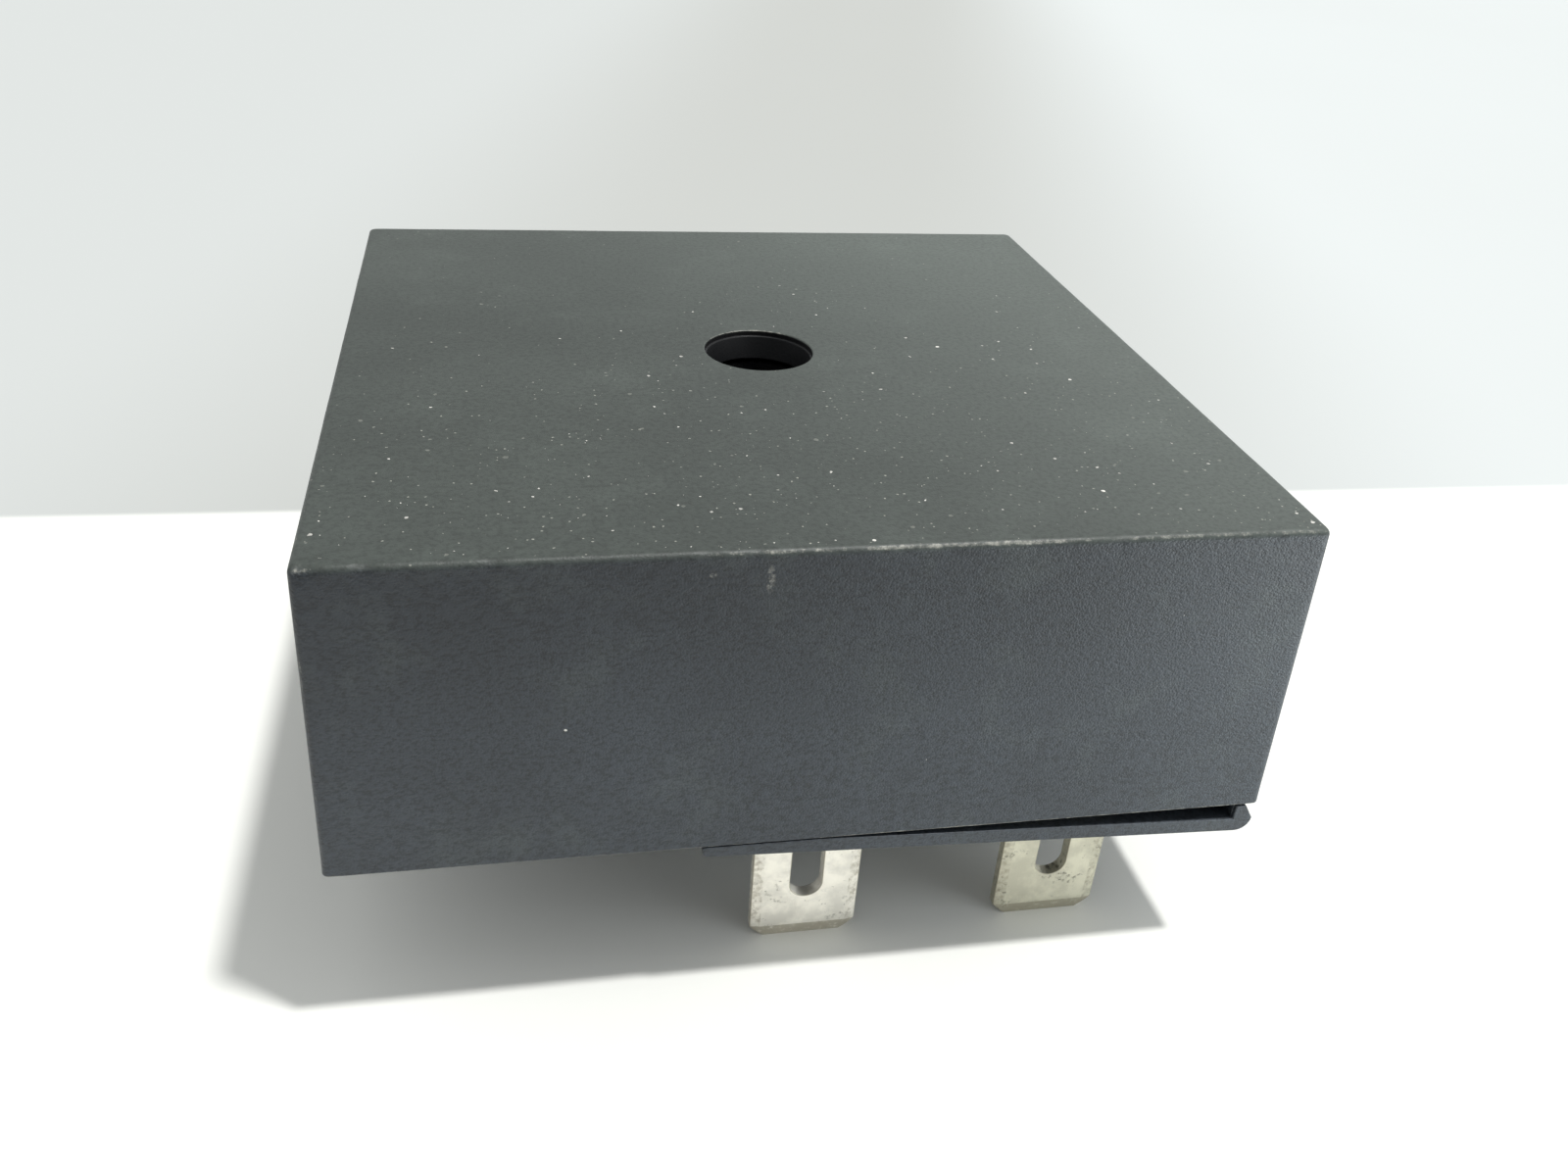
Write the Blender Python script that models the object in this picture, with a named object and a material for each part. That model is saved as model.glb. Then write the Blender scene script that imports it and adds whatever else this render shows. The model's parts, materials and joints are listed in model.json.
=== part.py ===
"""Plug-in relay module, 2 in square, with five quick-connect blades and a changeover relay inside.

Metres, +Z up. The origin is level with the blade tips, under the middle of the hold-down screw's hole.
+X runs to the right along the front, where two of the blades stand, and +Y to the back.
"""

import math

import bmesh
import bpy

MM = 0.001

# Fits
SEAT = 0.3 * MM  # between two pieces that rest on each other
SMALL_SEAT = 0.2 * MM  # the same, between the relay's own small pieces
SLIP = 0.3 * MM  # round a pin, lead or tube in its hole
LEAST_EDGE_GAP = 0.1 * MM  # where the base cover closes on the housing's rim

# Housing
HOUSING_WIDTH = 50.8 * MM  # outside, at the rim
HOUSING_HEIGHT = 17.55 * MM
HOUSING_WALL = 1.6 * MM
TOP_THICKNESS = 1.8 * MM
DRAFT = math.radians(1.2)
EDGE_RADIUS = 0.4 * MM
SCREW_HOLE = 5.9 * MM
SCREW_STEP = 0.8 * MM  # how much wider the hole's mouth is
SCREW_STEP_DEPTH = 0.38 * MM
BOSS_WALL = 0.85 * MM
BOSS_DEPTH = 1.6 * MM
CORNER_POST = 3.6 * MM

# Blades
BLADE_REACH = 10.5 * MM  # tip to the housing's rim
BLADE_WIDTH = 6.3 * MM
BLADE_THICKNESS = 0.8 * MM
BLADE_CHAMFER = 0.85 * MM
TIP_BEVEL = 0.65 * MM
TIP_THICKNESS = 0.4 * MM
SLOT_WIDTH = 1.9 * MM
SLOT_BOTTOM = 3.1 * MM
SLOT_LENGTH = 4.5 * MM
SHOULDER_OVERHANG = 0.65 * MM
SHOULDER_HEIGHT = 0.5 * MM
TAB_WIDTH = 1.4 * MM
TAB_SPACING = 3.4 * MM
ROW_INSET = 3.8 * MM  # blade middle to the housing's outer face
BLADE_PITCH = 15.0 * MM
MIDDLE_COLUMN = 0.3 * MM
BLADES = ((0, -1), (1, -1), (-1, 1), (0, 1), (1, 1))  # column, and front or rear row

# Base cover
COVER_THICKNESS = 0.89 * MM
COVER_EDGE_GAP = 0.35 * MM
COVER_DROP = 0.67 * MM  # underside below the rim at the lip's left end
COVER_SLOPE = 0.04  # it is warped: it falls this much for each unit to the right
LIP_START = -6.4 * MM
LIP_END_INSET = 0.15 * MM
LIP_CORNER = 0.9 * MM
LIP_OVERLAP = 0.5 * MM
COVER_STEP = 0.03 * MM  # the flange is this much smaller all round than the lip, and the panel than the flange
UPSTAND_WIDTH = 0.9 * MM
UPSTAND_SLANT = 0.65 * MM
COVER_POST = 3.6 * MM
COVER_POST_X = 20.8 * MM
COVER_POST_Y = 15.0 * MM

# Board
BOARD_THICKNESS = 1.6 * MM
BOARD_TOP_ABOVE_RIM = 3.3 * MM
BOARD_EDGE_GAP = 0.9 * MM
BOARD_SLIP = 0.5 * MM  # round the sleeve
LEAD_THROUGH = 1.0 * MM  # how far leads and pins reach below the board

# Hold-down sleeve
SLEEVE_WALL = 1.1 * MM
SLEEVE_FLANGE = 1.5 * MM
SLEEVE_FLANGE_THICKNESS = 0.7 * MM

# Relay
RELAY_TO_SLEEVE = 1.65 * MM
RELAY_COVER_WALL = 0.6 * MM
RELAY_BASE_THICKNESS = 1.2 * MM
RELAY_FRONT = -11.6 * MM  # inside of its cover
RELAY_BACK = 13.0 * MM
CONTACT_ZONE = 6.8 * MM  # room for the contacts beside the coil
COIL_SIDE_GAP = 0.5 * MM
FLANGE_WIDTH = 7.4 * MM
FLANGE_THICKNESS = 0.8 * MM
BOBBIN_FRONT = -3.8 * MM
BOBBIN_WALL = 0.6 * MM
WINDING_INSET = 0.15 * MM
CORE_RADIUS = 1.7 * MM
POLE_RADIUS = 2.9 * MM
POLE_THICKNESS = 0.9 * MM
YOKE_THICKNESS = 1.2 * MM
YOKE_INSET = 1.0 * MM  # from each side of the coil's flange, which leaves room for the pins
YOKE_LIFT = 0.6 * MM  # above the relay's base, for the return spring
PIN_SIZE = 0.6 * MM
COIL_PIN_Y = 8.0 * MM
YOKE_TAIL_Y = 10.2 * MM
YOKE_TAIL_WIDTH = 1.0 * MM
POLE_GAP = 0.95 * MM
PIVOT_TO_ARMATURE = 0.2 * MM
ARMATURE_THICKNESS = 1.2 * MM
ARMATURE_OVERHANG = 0.1 * MM  # past each side of the coil's flange
ARMATURE_FOOT = 0.5 * MM
ARMATURE_SWING = math.radians(5)
LEAF_THICKNESS = 0.25 * MM
LEAF_HEIGHT = 3.2 * MM
LEAF_PIP_RADIUS = 0.6 * MM
LEAF_PIPS = (-2.2 * MM, 0.6 * MM)  # from the coil's middle
LEAF_END = 1.1 * MM  # past the last pip
CONTACT_FROM_WALL = 2.9 * MM
CONTACT_RADIUS = 1.3 * MM
CONTACT_HEAD = 0.6 * MM
CONTACT_SHANK = 0.5 * MM
CONTACT_CLEARANCE = 0.12 * MM
ARM_WIDTH = 3.2 * MM
ARM_THICKNESS = 0.5 * MM
ARM_PIN_WIDTH = 1.0 * MM
ARM_ABOVE_LEAF = 0.2 * MM
SPRING_THICKNESS = 0.2 * MM
SPRING_WIDTH = 3.8 * MM
SPRING_HEIGHT = 3.5 * MM
SPRING_LENGTH = 6.5 * MM

# Parts of the coil's supply
LEAD = 0.7 * MM
DIODE_RADIUS = 1.35 * MM
DIODE_LENGTH = 5.0 * MM
DIODE_LEAD_SPAN = 10.2 * MM
DIODE_PITCH = 3.85 * MM
DIODE_TO_RELAY = 1.9 * MM
DIODES_FROM_BLADES = 8.1 * MM
RESISTOR_RADIUS = 1.65 * MM
RESISTOR_LENGTH = 9.0 * MM
RESISTOR_LEAD_SPAN = 13.0 * MM
RESISTOR_X = {"inrush_resistor": -2.2 * MM, "bleed_resistor": 2.4 * MM}
REAR_PARTS_FROM_BLADES = 8.6 * MM
FILM_CAPACITOR = (6.0 * MM, 13.0 * MM, 8.5 * MM)
FILM_CAPACITOR_X = -8.5 * MM
FILM_LEAD_SPAN = 10.0 * MM
CAN_RADIUS = 4.0 * MM
CAN_LENGTH = 11.5 * MM
CAN_X = -16.5 * MM
CAN_LEAD_SPAN = 3.5 * MM
CAN_LEAD_OUT = 1.2 * MM
VARISTOR_RADIUS = 4.5 * MM
VARISTOR_THICKNESS = 3.6 * MM
VARISTOR_X = -16.5 * MM
VARISTOR_LEAD_SPAN = 5.0 * MM
VARISTOR_STANDOFF = 0.8 * MM
END_ROUNDING = 0.15  # of a diode's or resistor's radius
CAN_ROUNDING = 0.1  # of the can's radius
CAN_NECK = 0.92  # the groove by the can's seal, of its radius

# Roundness
FINE = 48
ROUND = 24
COARSE = 16
SHARP_FROM = math.radians(35)

# Levels and places that follow from the sizes
RIM = BLADE_REACH
HOUSING_TOP = RIM + HOUSING_HEIGHT
CEILING = HOUSING_TOP - TOP_THICKNESS
OUTER_HALF = HOUSING_WIDTH / 2
INNER_HALF = OUTER_HALF - HOUSING_WALL
ROW_Y = OUTER_HALF - ROW_INSET
BOARD_TOP = RIM + BOARD_TOP_ABOVE_RIM
BOARD_BOTTOM = BOARD_TOP - BOARD_THICKNESS
BOARD_HALF = INNER_HALF - BOARD_EDGE_GAP
LEAD_END = BOARD_BOTTOM - LEAD_THROUGH
SLEEVE_BORE = SCREW_HOLE / 2 + SMALL_SEAT / 2
SLEEVE_RADIUS = SLEEVE_BORE + SLEEVE_WALL
RELAY_LEFT = SLEEVE_RADIUS + RELAY_TO_SLEEVE + RELAY_COVER_WALL  # inside of its cover
COIL_X = RELAY_LEFT + CONTACT_ZONE + FLANGE_WIDTH / 2
RELAY_RIGHT = COIL_X + FLANGE_WIDTH / 2 + COIL_SIDE_GAP
RELAY_BOTTOM = BOARD_TOP + SMALL_SEAT
RELAY_FLOOR = RELAY_BOTTOM + RELAY_BASE_THICKNESS
YOKE_BOTTOM = RELAY_FLOOR + YOKE_LIFT
YOKE_TOP = YOKE_BOTTOM + YOKE_THICKNESS
COIL_Z = YOKE_TOP + SMALL_SEAT + FLANGE_WIDTH / 2
POLE_FACE = BOBBIN_FRONT - SMALL_SEAT - POLE_THICKNESS
YOKE_BACK = RELAY_BACK - SMALL_SEAT
BOBBIN_BACK = YOKE_BACK - YOKE_THICKNESS - SMALL_SEAT
ARMATURE_FACE = POLE_FACE - POLE_GAP
PIVOT = (COIL_X, ARMATURE_FACE + PIVOT_TO_ARMATURE, YOKE_BOTTOM + YOKE_THICKNESS / 2)
YOKE_WIDTH = FLANGE_WIDTH - 2 * YOKE_INSET
ARMATURE_WIDTH = FLANGE_WIDTH + 2 * ARMATURE_OVERHANG
ARMATURE_HEIGHT = COIL_Z + FLANGE_WIDTH / 2 - SEAT - PIVOT[2]  # above the pivot
CONTACT_HEIGHT = ARMATURE_HEIGHT - SEAT - LEAF_HEIGHT / 2  # above the pivot
CONTACT_X = RELAY_LEFT + CONTACT_FROM_WALL
CONTACT_Z = PIVOT[2] + CONTACT_HEIGHT
LEAF_BACK = ARMATURE_FACE - ARMATURE_THICKNESS - SMALL_SEAT
LEAF_FRONT = LEAF_BACK - LEAF_THICKNESS
MOVING_BACK = LEAF_BACK + SMALL_SEAT + CONTACT_HEAD
MOVING_FRONT = LEAF_FRONT - SMALL_SEAT - CONTACT_HEAD
CONTACT_TRAVEL = (CONTACT_HEIGHT + CONTACT_RADIUS) * math.sin(ARMATURE_SWING)  # at its upper edge


def finish(name, colour, roughness, metallic=0.0):
    """A plain Principled material."""
    made = bpy.data.materials.new(name)
    made.use_nodes = True
    shader = made.node_tree.nodes["Principled BSDF"]
    shader.inputs["Base Color"].default_value = (*colour, 1)
    shader.inputs["Roughness"].default_value = roughness
    shader.inputs["Metallic"].default_value = metallic
    made.diffuse_color = (*colour, 1)
    return made


def across(axis, u, v, along):
    """A point from its place along an axis and its two other coordinates, in X, Y, Z order."""
    return {"X": (along, u, v), "Y": (u, along, v), "Z": (u, v, along)}[axis]


def prism(outline, axis, start, end, end_outline=None):
    """An outline across the axis, carried from start to end, where it may take another size."""
    shape = bmesh.new()
    near = [shape.verts.new(across(axis, u, v, start)) for u, v in outline]
    far = [shape.verts.new(across(axis, u, v, end)) for u, v in end_outline or outline]
    shape.faces.new(near)
    shape.faces.new(far)
    for i, corner in enumerate(near):
        j = (i + 1) % len(near)
        shape.faces.new((corner, near[j], far[j], far[i]))
    bmesh.ops.recalc_face_normals(shape, faces=shape.faces)
    return shape


def rectangle(left, right, bottom, top):
    return [(left, bottom), (right, bottom), (right, top), (left, top)]


def square(half):
    return rectangle(-half, half, -half, half)


def box(low, high):
    return prism(rectangle(low[0], high[0], low[1], high[1]), "Z", low[2], high[2])


def arc(centre, radius, start, end, steps):
    """Points along an arc, from one angle in degrees to another."""
    turns = [math.radians(start + (end - start) * i / steps) for i in range(steps + 1)]
    return [(centre[0] + radius * math.cos(t), centre[1] + radius * math.sin(t)) for t in turns]


def turned(profile, axis, centre=(0, 0), segments=ROUND):
    """A closed profile of (radius, place along the axis) points, turned about the axis."""
    shape = bmesh.new()
    rings = []
    for radius, along in profile:
        angles = [2 * math.pi * i / segments for i in range(segments if radius else 1)]
        rings.append(
            [
                shape.verts.new(
                    across(axis, centre[0] + radius * math.cos(a), centre[1] + radius * math.sin(a), along)
                )
                for a in angles
            ]
        )
    for ring, following in zip(rings, rings[1:] + rings[:1]):
        bridge(shape, ring, following)
    bmesh.ops.recalc_face_normals(shape, faces=shape.faces)
    return shape


def bridge(shape, ring, following):
    """Faces between two rings, either of which may be a single point on the axis."""
    count = max(len(ring), len(following))
    if count == 1:
        return
    for i in range(count):
        j = (i + 1) % count
        corners = [ring[i % len(ring)], ring[j % len(ring)]]
        corners += [following[j % len(following)], following[i % len(following)]]
        shape.faces.new(list(dict.fromkeys(corners)))


def rod(radius, axis, start, end, centre=(0, 0), segments=ROUND):
    return turned([(0, start), (radius, start), (radius, end), (0, end)], axis, centre, segments)


def tube(inner, outer, axis, start, end, centre=(0, 0), segments=ROUND):
    return turned([(inner, start), (outer, start), (outer, end), (inner, end)], axis, centre, segments)


def together(*shapes):
    """One shape that holds several which don't touch."""
    whole = bmesh.new()
    for shape in shapes:
        mesh = bpy.data.meshes.new("shape")
        shape.to_mesh(mesh)
        shape.free()
        whole.from_mesh(mesh)
        bpy.data.meshes.remove(mesh)
    return whole


def piece(name, shape, material, place=(0, 0, 0)):
    """A named sub-part whose origin lies at place, with its shape given from there."""
    mesh = bpy.data.meshes.new(name)
    shape.to_mesh(mesh)
    shape.free()
    mesh.materials.append(material)
    mesh.shade_smooth()
    mesh.set_sharp_from_angle(angle=SHARP_FROM)
    made = bpy.data.objects.new(name, mesh)
    made.location = place
    bpy.context.scene.collection.objects.link(made)
    return made


def combine(target, operation, shape):
    """Adds a shape to a piece, or cuts it out, with a Boolean and a hidden helper."""
    mesh = bpy.data.meshes.new(target.name + "_tool")
    shape.to_mesh(mesh)
    shape.free()
    helper = bpy.data.objects.new(mesh.name, mesh)
    helper.parent = target
    helper.hide_render = True
    helper.display_type = "WIRE"
    bpy.context.scene.collection.objects.link(helper)
    modifier = target.modifiers.new(operation.title(), "BOOLEAN")
    modifier.operation = operation
    modifier.object = helper


def fuse(target, shape):
    combine(target, "UNION", shape)


def cut(target, shape):
    combine(target, "DIFFERENCE", shape)


def cover_underside(x):
    """Height of the warped base cover's lower face."""
    return RIM - COVER_DROP - COVER_SLOPE * (x - LIP_START)


def cover_top(x):
    return cover_underside(x) + COVER_THICKNESS


def half_width(height, half):
    """Half the housing's width at a height, from half its width at the rim."""
    return half - (height - RIM) * math.tan(DRAFT)


def blade_places():
    return [(MIDDLE_COLUMN + column * BLADE_PITCH, row * ROW_Y) for column, row in BLADES]


def housing(material):
    """Drafted cover, open below, with the screw hole, its boss and four posts that hold the board down."""
    outer_top = half_width(HOUSING_TOP, OUTER_HALF)
    shape = prism(square(OUTER_HALF), "Z", RIM, HOUSING_TOP, square(outer_top))
    upper = [edge for edge in shape.edges if max(vert.co.z for vert in edge.verts) > RIM + HOUSING_HEIGHT / 2]
    bmesh.ops.bevel(shape, geom=upper, offset=EDGE_RADIUS, segments=3, profile=0.5, affect="EDGES")
    made = piece("housing", shape, material)
    below = RIM - HOUSING_WALL
    cavity = prism(
        square(half_width(below, INNER_HALF)), "Z", below, CEILING, square(half_width(CEILING, INNER_HALF))
    )
    cut(made, cavity)
    buried = CEILING + TOP_THICKNESS / 4
    boss_bore = SLEEVE_RADIUS + SLIP
    inner_corner = half_width(CEILING, INNER_HALF) - CORNER_POST + HOUSING_WALL / 2
    outer_corner = inner_corner + CORNER_POST
    posts = [
        prism(
            [(sx * x, sy * y) for x, y in rectangle(inner_corner, outer_corner, inner_corner, outer_corner)],
            "Z",
            BOARD_TOP + SEAT,
            buried,
        )
        for sx in (-1, 1)
        for sy in (-1, 1)
    ]
    boss = tube(boss_bore, boss_bore + BOSS_WALL, "Z", CEILING - BOSS_DEPTH, buried, segments=FINE)
    fuse(made, together(boss, *posts))
    mouth = (SCREW_HOLE + SCREW_STEP) / 2
    step = HOUSING_TOP - SCREW_STEP_DEPTH
    profile = [(0, HOUSING_TOP + SEAT), (mouth, HOUSING_TOP + SEAT), (mouth, step)]
    profile += [(SCREW_HOLE / 2, step), (SCREW_HOLE / 2, CEILING - SEAT), (0, CEILING - SEAT)]
    cut(made, turned(profile, "Z", segments=FINE))
    return made


def upstand_outline(step):
    """The cover's right end seen from the front, from its rounded lower corner to the foot of its upstand."""
    end = OUTER_HALF - LIP_END_INSET - step
    closed = RIM - LEAST_EDGE_GAP - step
    corner = (end - LIP_CORNER, cover_underside(end - LIP_CORNER) + step + LIP_CORNER)
    outside = end - UPSTAND_SLANT
    inside = outside - UPSTAND_WIDTH
    points = arc(corner, LIP_CORNER, -90, 0, 5)
    return points + [(outside, closed), (inside, closed), (inside, cover_top(inside) - step)]


def lip_outline():
    """The front lip: it closes on the rim at the left and hangs clear at the right."""
    closed = RIM - LEAST_EDGE_GAP
    meets = LIP_START + (COVER_THICKNESS - COVER_DROP + LEAST_EDGE_GAP) / COVER_SLOPE
    start = [(LIP_START, cover_underside(LIP_START))]
    return start + upstand_outline(0) + [(meets, closed), (LIP_START, closed)]


def right_flange_outline():
    start = INNER_HALF - LIP_OVERLAP
    low = (start, cover_underside(start) + COVER_STEP)
    return [low, *upstand_outline(COVER_STEP), (start, cover_top(start) - COVER_STEP)]


def base_cover(material):
    """Thin cover inside the walls, with a lip under the front wall and a flange under the right one."""
    edge = INNER_HALF - COVER_EDGE_GAP
    lift = 2 * COVER_STEP
    slab = [(x, cover_underside(x) + lift) for x in (-edge, edge)]
    slab += [(x, cover_top(x) - lift) for x in (edge, -edge)]
    made = piece("base_cover", prism(slab, "Y", -edge, edge), material)
    lip = prism(lip_outline(), "Y", -OUTER_HALF, LIP_OVERLAP - edge)
    posts = [
        rod(COVER_POST / 2, "Z", cover_top(x) - COVER_THICKNESS / 2, BOARD_BOTTOM - SEAT, (x, y), COARSE)
        for x in (-COVER_POST_X, COVER_POST_X)
        for y in (-COVER_POST_Y, COVER_POST_Y)
    ]
    fuse(made, together(lip, *posts))
    fuse(made, prism(right_flange_outline(), "Y", LIP_OVERLAP / 2 - OUTER_HALF, OUTER_HALF))
    low = cover_underside(OUTER_HALF) - SEAT
    high = BOARD_BOTTOM - SEAT
    slots = [
        box(
            (x - BLADE_WIDTH / 2 - SLIP, y - BLADE_THICKNESS / 2 - SLIP, low),
            (x + BLADE_WIDTH / 2 + SLIP, y + BLADE_THICKNESS / 2 + SLIP, high),
        )
        for x, y in blade_places()
    ]
    cut(made, together(rod(SLEEVE_RADIUS + SLIP, "Z", low, high, segments=FINE), *slots))
    return made


def blade_mesh(material):
    """One quick-connect blade from its tip up: bevelled tip, slot, shoulders and two solder tabs."""
    half = BLADE_WIDTH / 2
    shoulder = BOARD_BOTTOM - SMALL_SEAT
    shoulder_half = half + SHOULDER_OVERHANG
    tab_end = BOARD_TOP + LEAD_THROUGH
    tab_outer = (TAB_SPACING + TAB_WIDTH) / 2
    tab_inner = (TAB_SPACING - TAB_WIDTH) / 2
    right = [
        (half - BLADE_CHAMFER, 0),
        (half, BLADE_CHAMFER),
        (half, shoulder - SHOULDER_HEIGHT),
        (shoulder_half, shoulder - SHOULDER_HEIGHT),
        (shoulder_half, shoulder),
        (tab_outer, shoulder),
        (tab_outer, tab_end),
        (tab_inner, tab_end),
        (tab_inner, shoulder),
    ]
    outline = right + [(-x, z) for x, z in reversed(right)]
    shape = prism(outline, "Y", -BLADE_THICKNESS / 2, BLADE_THICKNESS / 2)
    geometry = shape.verts[:] + shape.edges[:] + shape.faces[:]
    bmesh.ops.bisect_plane(shape, geom=geometry, plane_co=(0, 0, TIP_BEVEL), plane_no=(0, 0, 1))
    thinned = 1 - TIP_THICKNESS / BLADE_THICKNESS
    for vert in shape.verts:
        vert.co.y *= 1 - thinned * max(0, TIP_BEVEL - vert.co.z) / TIP_BEVEL
    bmesh.ops.triangulate(shape, faces=shape.faces)
    return shape


def terminal_blade(number, place, material):
    made = piece(f"terminal_blade_{number}", blade_mesh(material), material, (*place, 0))
    radius = SLOT_WIDTH / 2
    lower = (0, SLOT_BOTTOM + radius)
    upper = (0, SLOT_BOTTOM + SLOT_LENGTH - radius)
    outline = arc(lower, radius, 180, 360, 8) + arc(upper, radius, 0, 180, 8)
    cut(made, prism(outline, "Y", -BLADE_THICKNESS, BLADE_THICKNESS))
    return made


def mounting_sleeve(material):
    """The spacer that the hold-down screw passes through, flanged under the base cover."""
    flange = SLEEVE_RADIUS + SLEEVE_FLANGE
    flange_top = cover_underside(flange) - SMALL_SEAT
    flange_bottom = flange_top - SLEEVE_FLANGE_THICKNESS
    profile = [(SLEEVE_BORE, flange_bottom), (flange, flange_bottom), (flange, flange_top)]
    profile += [(SLEEVE_RADIUS, flange_top), (SLEEVE_RADIUS, CEILING - SEAT), (SLEEVE_BORE, CEILING - SEAT)]
    return piece("mounting_sleeve", turned(profile, "Z", segments=FINE), material)


def circuit_board(material, holes):
    """Holes are the middles and sizes of what passes through it."""
    made = piece("circuit_board", prism(square(BOARD_HALF), "Z", BOARD_BOTTOM, BOARD_TOP), material)
    low = BOARD_BOTTOM - BOARD_THICKNESS
    high = BOARD_TOP + BOARD_THICKNESS
    drills = [pin_box(x, y, width + 2 * SLIP, depth + 2 * SLIP, low, high) for x, y, width, depth in holes]
    cut(made, together(rod(SLEEVE_RADIUS + BOARD_SLIP, "Z", low, high, segments=FINE), *drills))
    return made


def pin_box(x, y, width, depth, low, high):
    return box((x - width / 2, y - depth / 2, low), (x + width / 2, y + depth / 2, high))


def blade_holes():
    return [
        (x + side * TAB_SPACING / 2, y, TAB_WIDTH, BLADE_THICKNESS)
        for x, y in blade_places()
        for side in (-1, 1)
    ]


def relay_holes():
    """Where the relay's pins pass through its base and the board."""
    coil = [(x, COIL_PIN_Y, PIN_SIZE, PIN_SIZE) for x in coil_pin_columns()]
    arms = [(CONTACT_X, middle, ARM_PIN_WIDTH, ARM_THICKNESS) for middle in (open_arm_y(), closed_arm_y())]
    return [*coil, *arms, (COIL_X, YOKE_TAIL_Y, YOKE_TAIL_WIDTH, PIN_SIZE)]


def coil_pin_columns():
    reach = YOKE_WIDTH / 2 + SEAT + PIN_SIZE / 2
    return (COIL_X - reach, COIL_X + reach)


def open_face():
    """Where the moving contact stops when the coil pulls."""
    return MOVING_BACK + CONTACT_TRAVEL + CONTACT_CLEARANCE


def closed_face():
    return MOVING_FRONT - CONTACT_CLEARANCE


def open_arm_y():
    return open_face() + CONTACT_HEAD + SMALL_SEAT + ARM_THICKNESS / 2


def closed_arm_y():
    return closed_face() - CONTACT_HEAD - SMALL_SEAT - ARM_THICKNESS / 2


def relay_cover(material):
    """Dust cover, open below."""
    wall = RELAY_COVER_WALL
    inside_top = YOKE_TOP + SMALL_SEAT + FLANGE_WIDTH + SMALL_SEAT
    outer = box(
        (RELAY_LEFT - wall, RELAY_FRONT - wall, RELAY_BOTTOM),
        (RELAY_RIGHT + wall, RELAY_BACK + wall, inside_top + wall),
    )
    made = piece("relay_cover", outer, material)
    cut(made, box((RELAY_LEFT, RELAY_FRONT, RELAY_BOTTOM - wall), (RELAY_RIGHT, RELAY_BACK, inside_top)))
    return made


def relay_base(material):
    low = (RELAY_LEFT + SMALL_SEAT, RELAY_FRONT + SMALL_SEAT, RELAY_BOTTOM)
    high = (RELAY_RIGHT - SMALL_SEAT, RELAY_BACK - SMALL_SEAT, RELAY_FLOOR)
    made = piece("relay_base", box(low, high), material)
    slots = [
        pin_box(x, y, width + 2 * SMALL_SEAT, depth + 2 * SMALL_SEAT, RELAY_BOTTOM - SEAT, RELAY_FLOOR + SEAT)
        for x, y, width, depth in relay_holes()
    ]
    cut(made, together(*slots))
    return made


def yoke(material):
    """L-shaped iron under and behind the coil, with a tail that is the relay's common pin."""
    side = [
        (ARMATURE_FACE + 2 * PIVOT_TO_ARMATURE, YOKE_BOTTOM),
        (YOKE_BACK, YOKE_BOTTOM),
        (YOKE_BACK, COIL_Z + FLANGE_WIDTH / 2),
        (YOKE_BACK - YOKE_THICKNESS, COIL_Z + FLANGE_WIDTH / 2),
        (YOKE_BACK - YOKE_THICKNESS, YOKE_TOP),
        (ARMATURE_FACE + 2 * PIVOT_TO_ARMATURE, YOKE_TOP),
    ]
    shape = prism(side, "X", COIL_X - YOKE_WIDTH / 2, COIL_X + YOKE_WIDTH / 2)
    made = piece("yoke", shape, material)
    tail_top = YOKE_BOTTOM + YOKE_THICKNESS / 2
    fuse(made, pin_box(COIL_X, YOKE_TAIL_Y, YOKE_TAIL_WIDTH, PIN_SIZE, LEAD_END, tail_top))
    bore = CORE_RADIUS + SMALL_SEAT
    cut(made, rod(bore, "Y", YOKE_BACK - 2 * YOKE_THICKNESS, RELAY_BACK, (COIL_X, COIL_Z)))
    return made


def core(material):
    """Iron rod through the coil, with its pole head towards the armature."""
    neck = POLE_FACE + POLE_THICKNESS
    profile = [(0, POLE_FACE), (POLE_RADIUS, POLE_FACE), (POLE_RADIUS, neck)]
    profile += [(CORE_RADIUS, neck), (CORE_RADIUS, YOKE_BACK), (0, YOKE_BACK)]
    return piece("core", turned(profile, "Y", (COIL_X, COIL_Z)), material)


def coil_bobbin(material):
    centre = (COIL_X, COIL_Z)
    bore = CORE_RADIUS + SMALL_SEAT
    made = piece("coil_bobbin", rod(bore + BOBBIN_WALL, "Y", BOBBIN_FRONT, BOBBIN_BACK, centre), material)
    half = FLANGE_WIDTH / 2
    outline = rectangle(COIL_X - half, COIL_X + half, COIL_Z - half, COIL_Z + half)
    front = prism(outline, "Y", BOBBIN_FRONT, BOBBIN_FRONT + FLANGE_THICKNESS)
    back = prism(outline, "Y", BOBBIN_BACK - FLANGE_THICKNESS, BOBBIN_BACK)
    fuse(made, together(front, back))
    cut(made, rod(bore, "Y", BOBBIN_FRONT - SEAT, BOBBIN_BACK + SEAT, centre))
    return made


def coil_winding(material):
    inner = CORE_RADIUS + SMALL_SEAT + BOBBIN_WALL + SMALL_SEAT
    start = BOBBIN_FRONT + FLANGE_THICKNESS + SMALL_SEAT
    end = BOBBIN_BACK - FLANGE_THICKNESS - SMALL_SEAT
    shape = tube(inner, FLANGE_WIDTH / 2 - WINDING_INSET, "Y", start, end, (COIL_X, COIL_Z))
    return piece("coil_winding", shape, material)


def coil_pins(material):
    for number, x in enumerate(coil_pin_columns(), 1):
        pin = pin_box(x, COIL_PIN_Y, PIN_SIZE, PIN_SIZE, LEAD_END, YOKE_TOP)
        piece(f"coil_pin_{number}", pin, material)


def from_pivot(x=COIL_X, y=PIVOT[1], z=PIVOT[2]):
    """A place given from the armature's pivot."""
    return (x - PIVOT[0], y - PIVOT[1], z - PIVOT[2])


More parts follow.
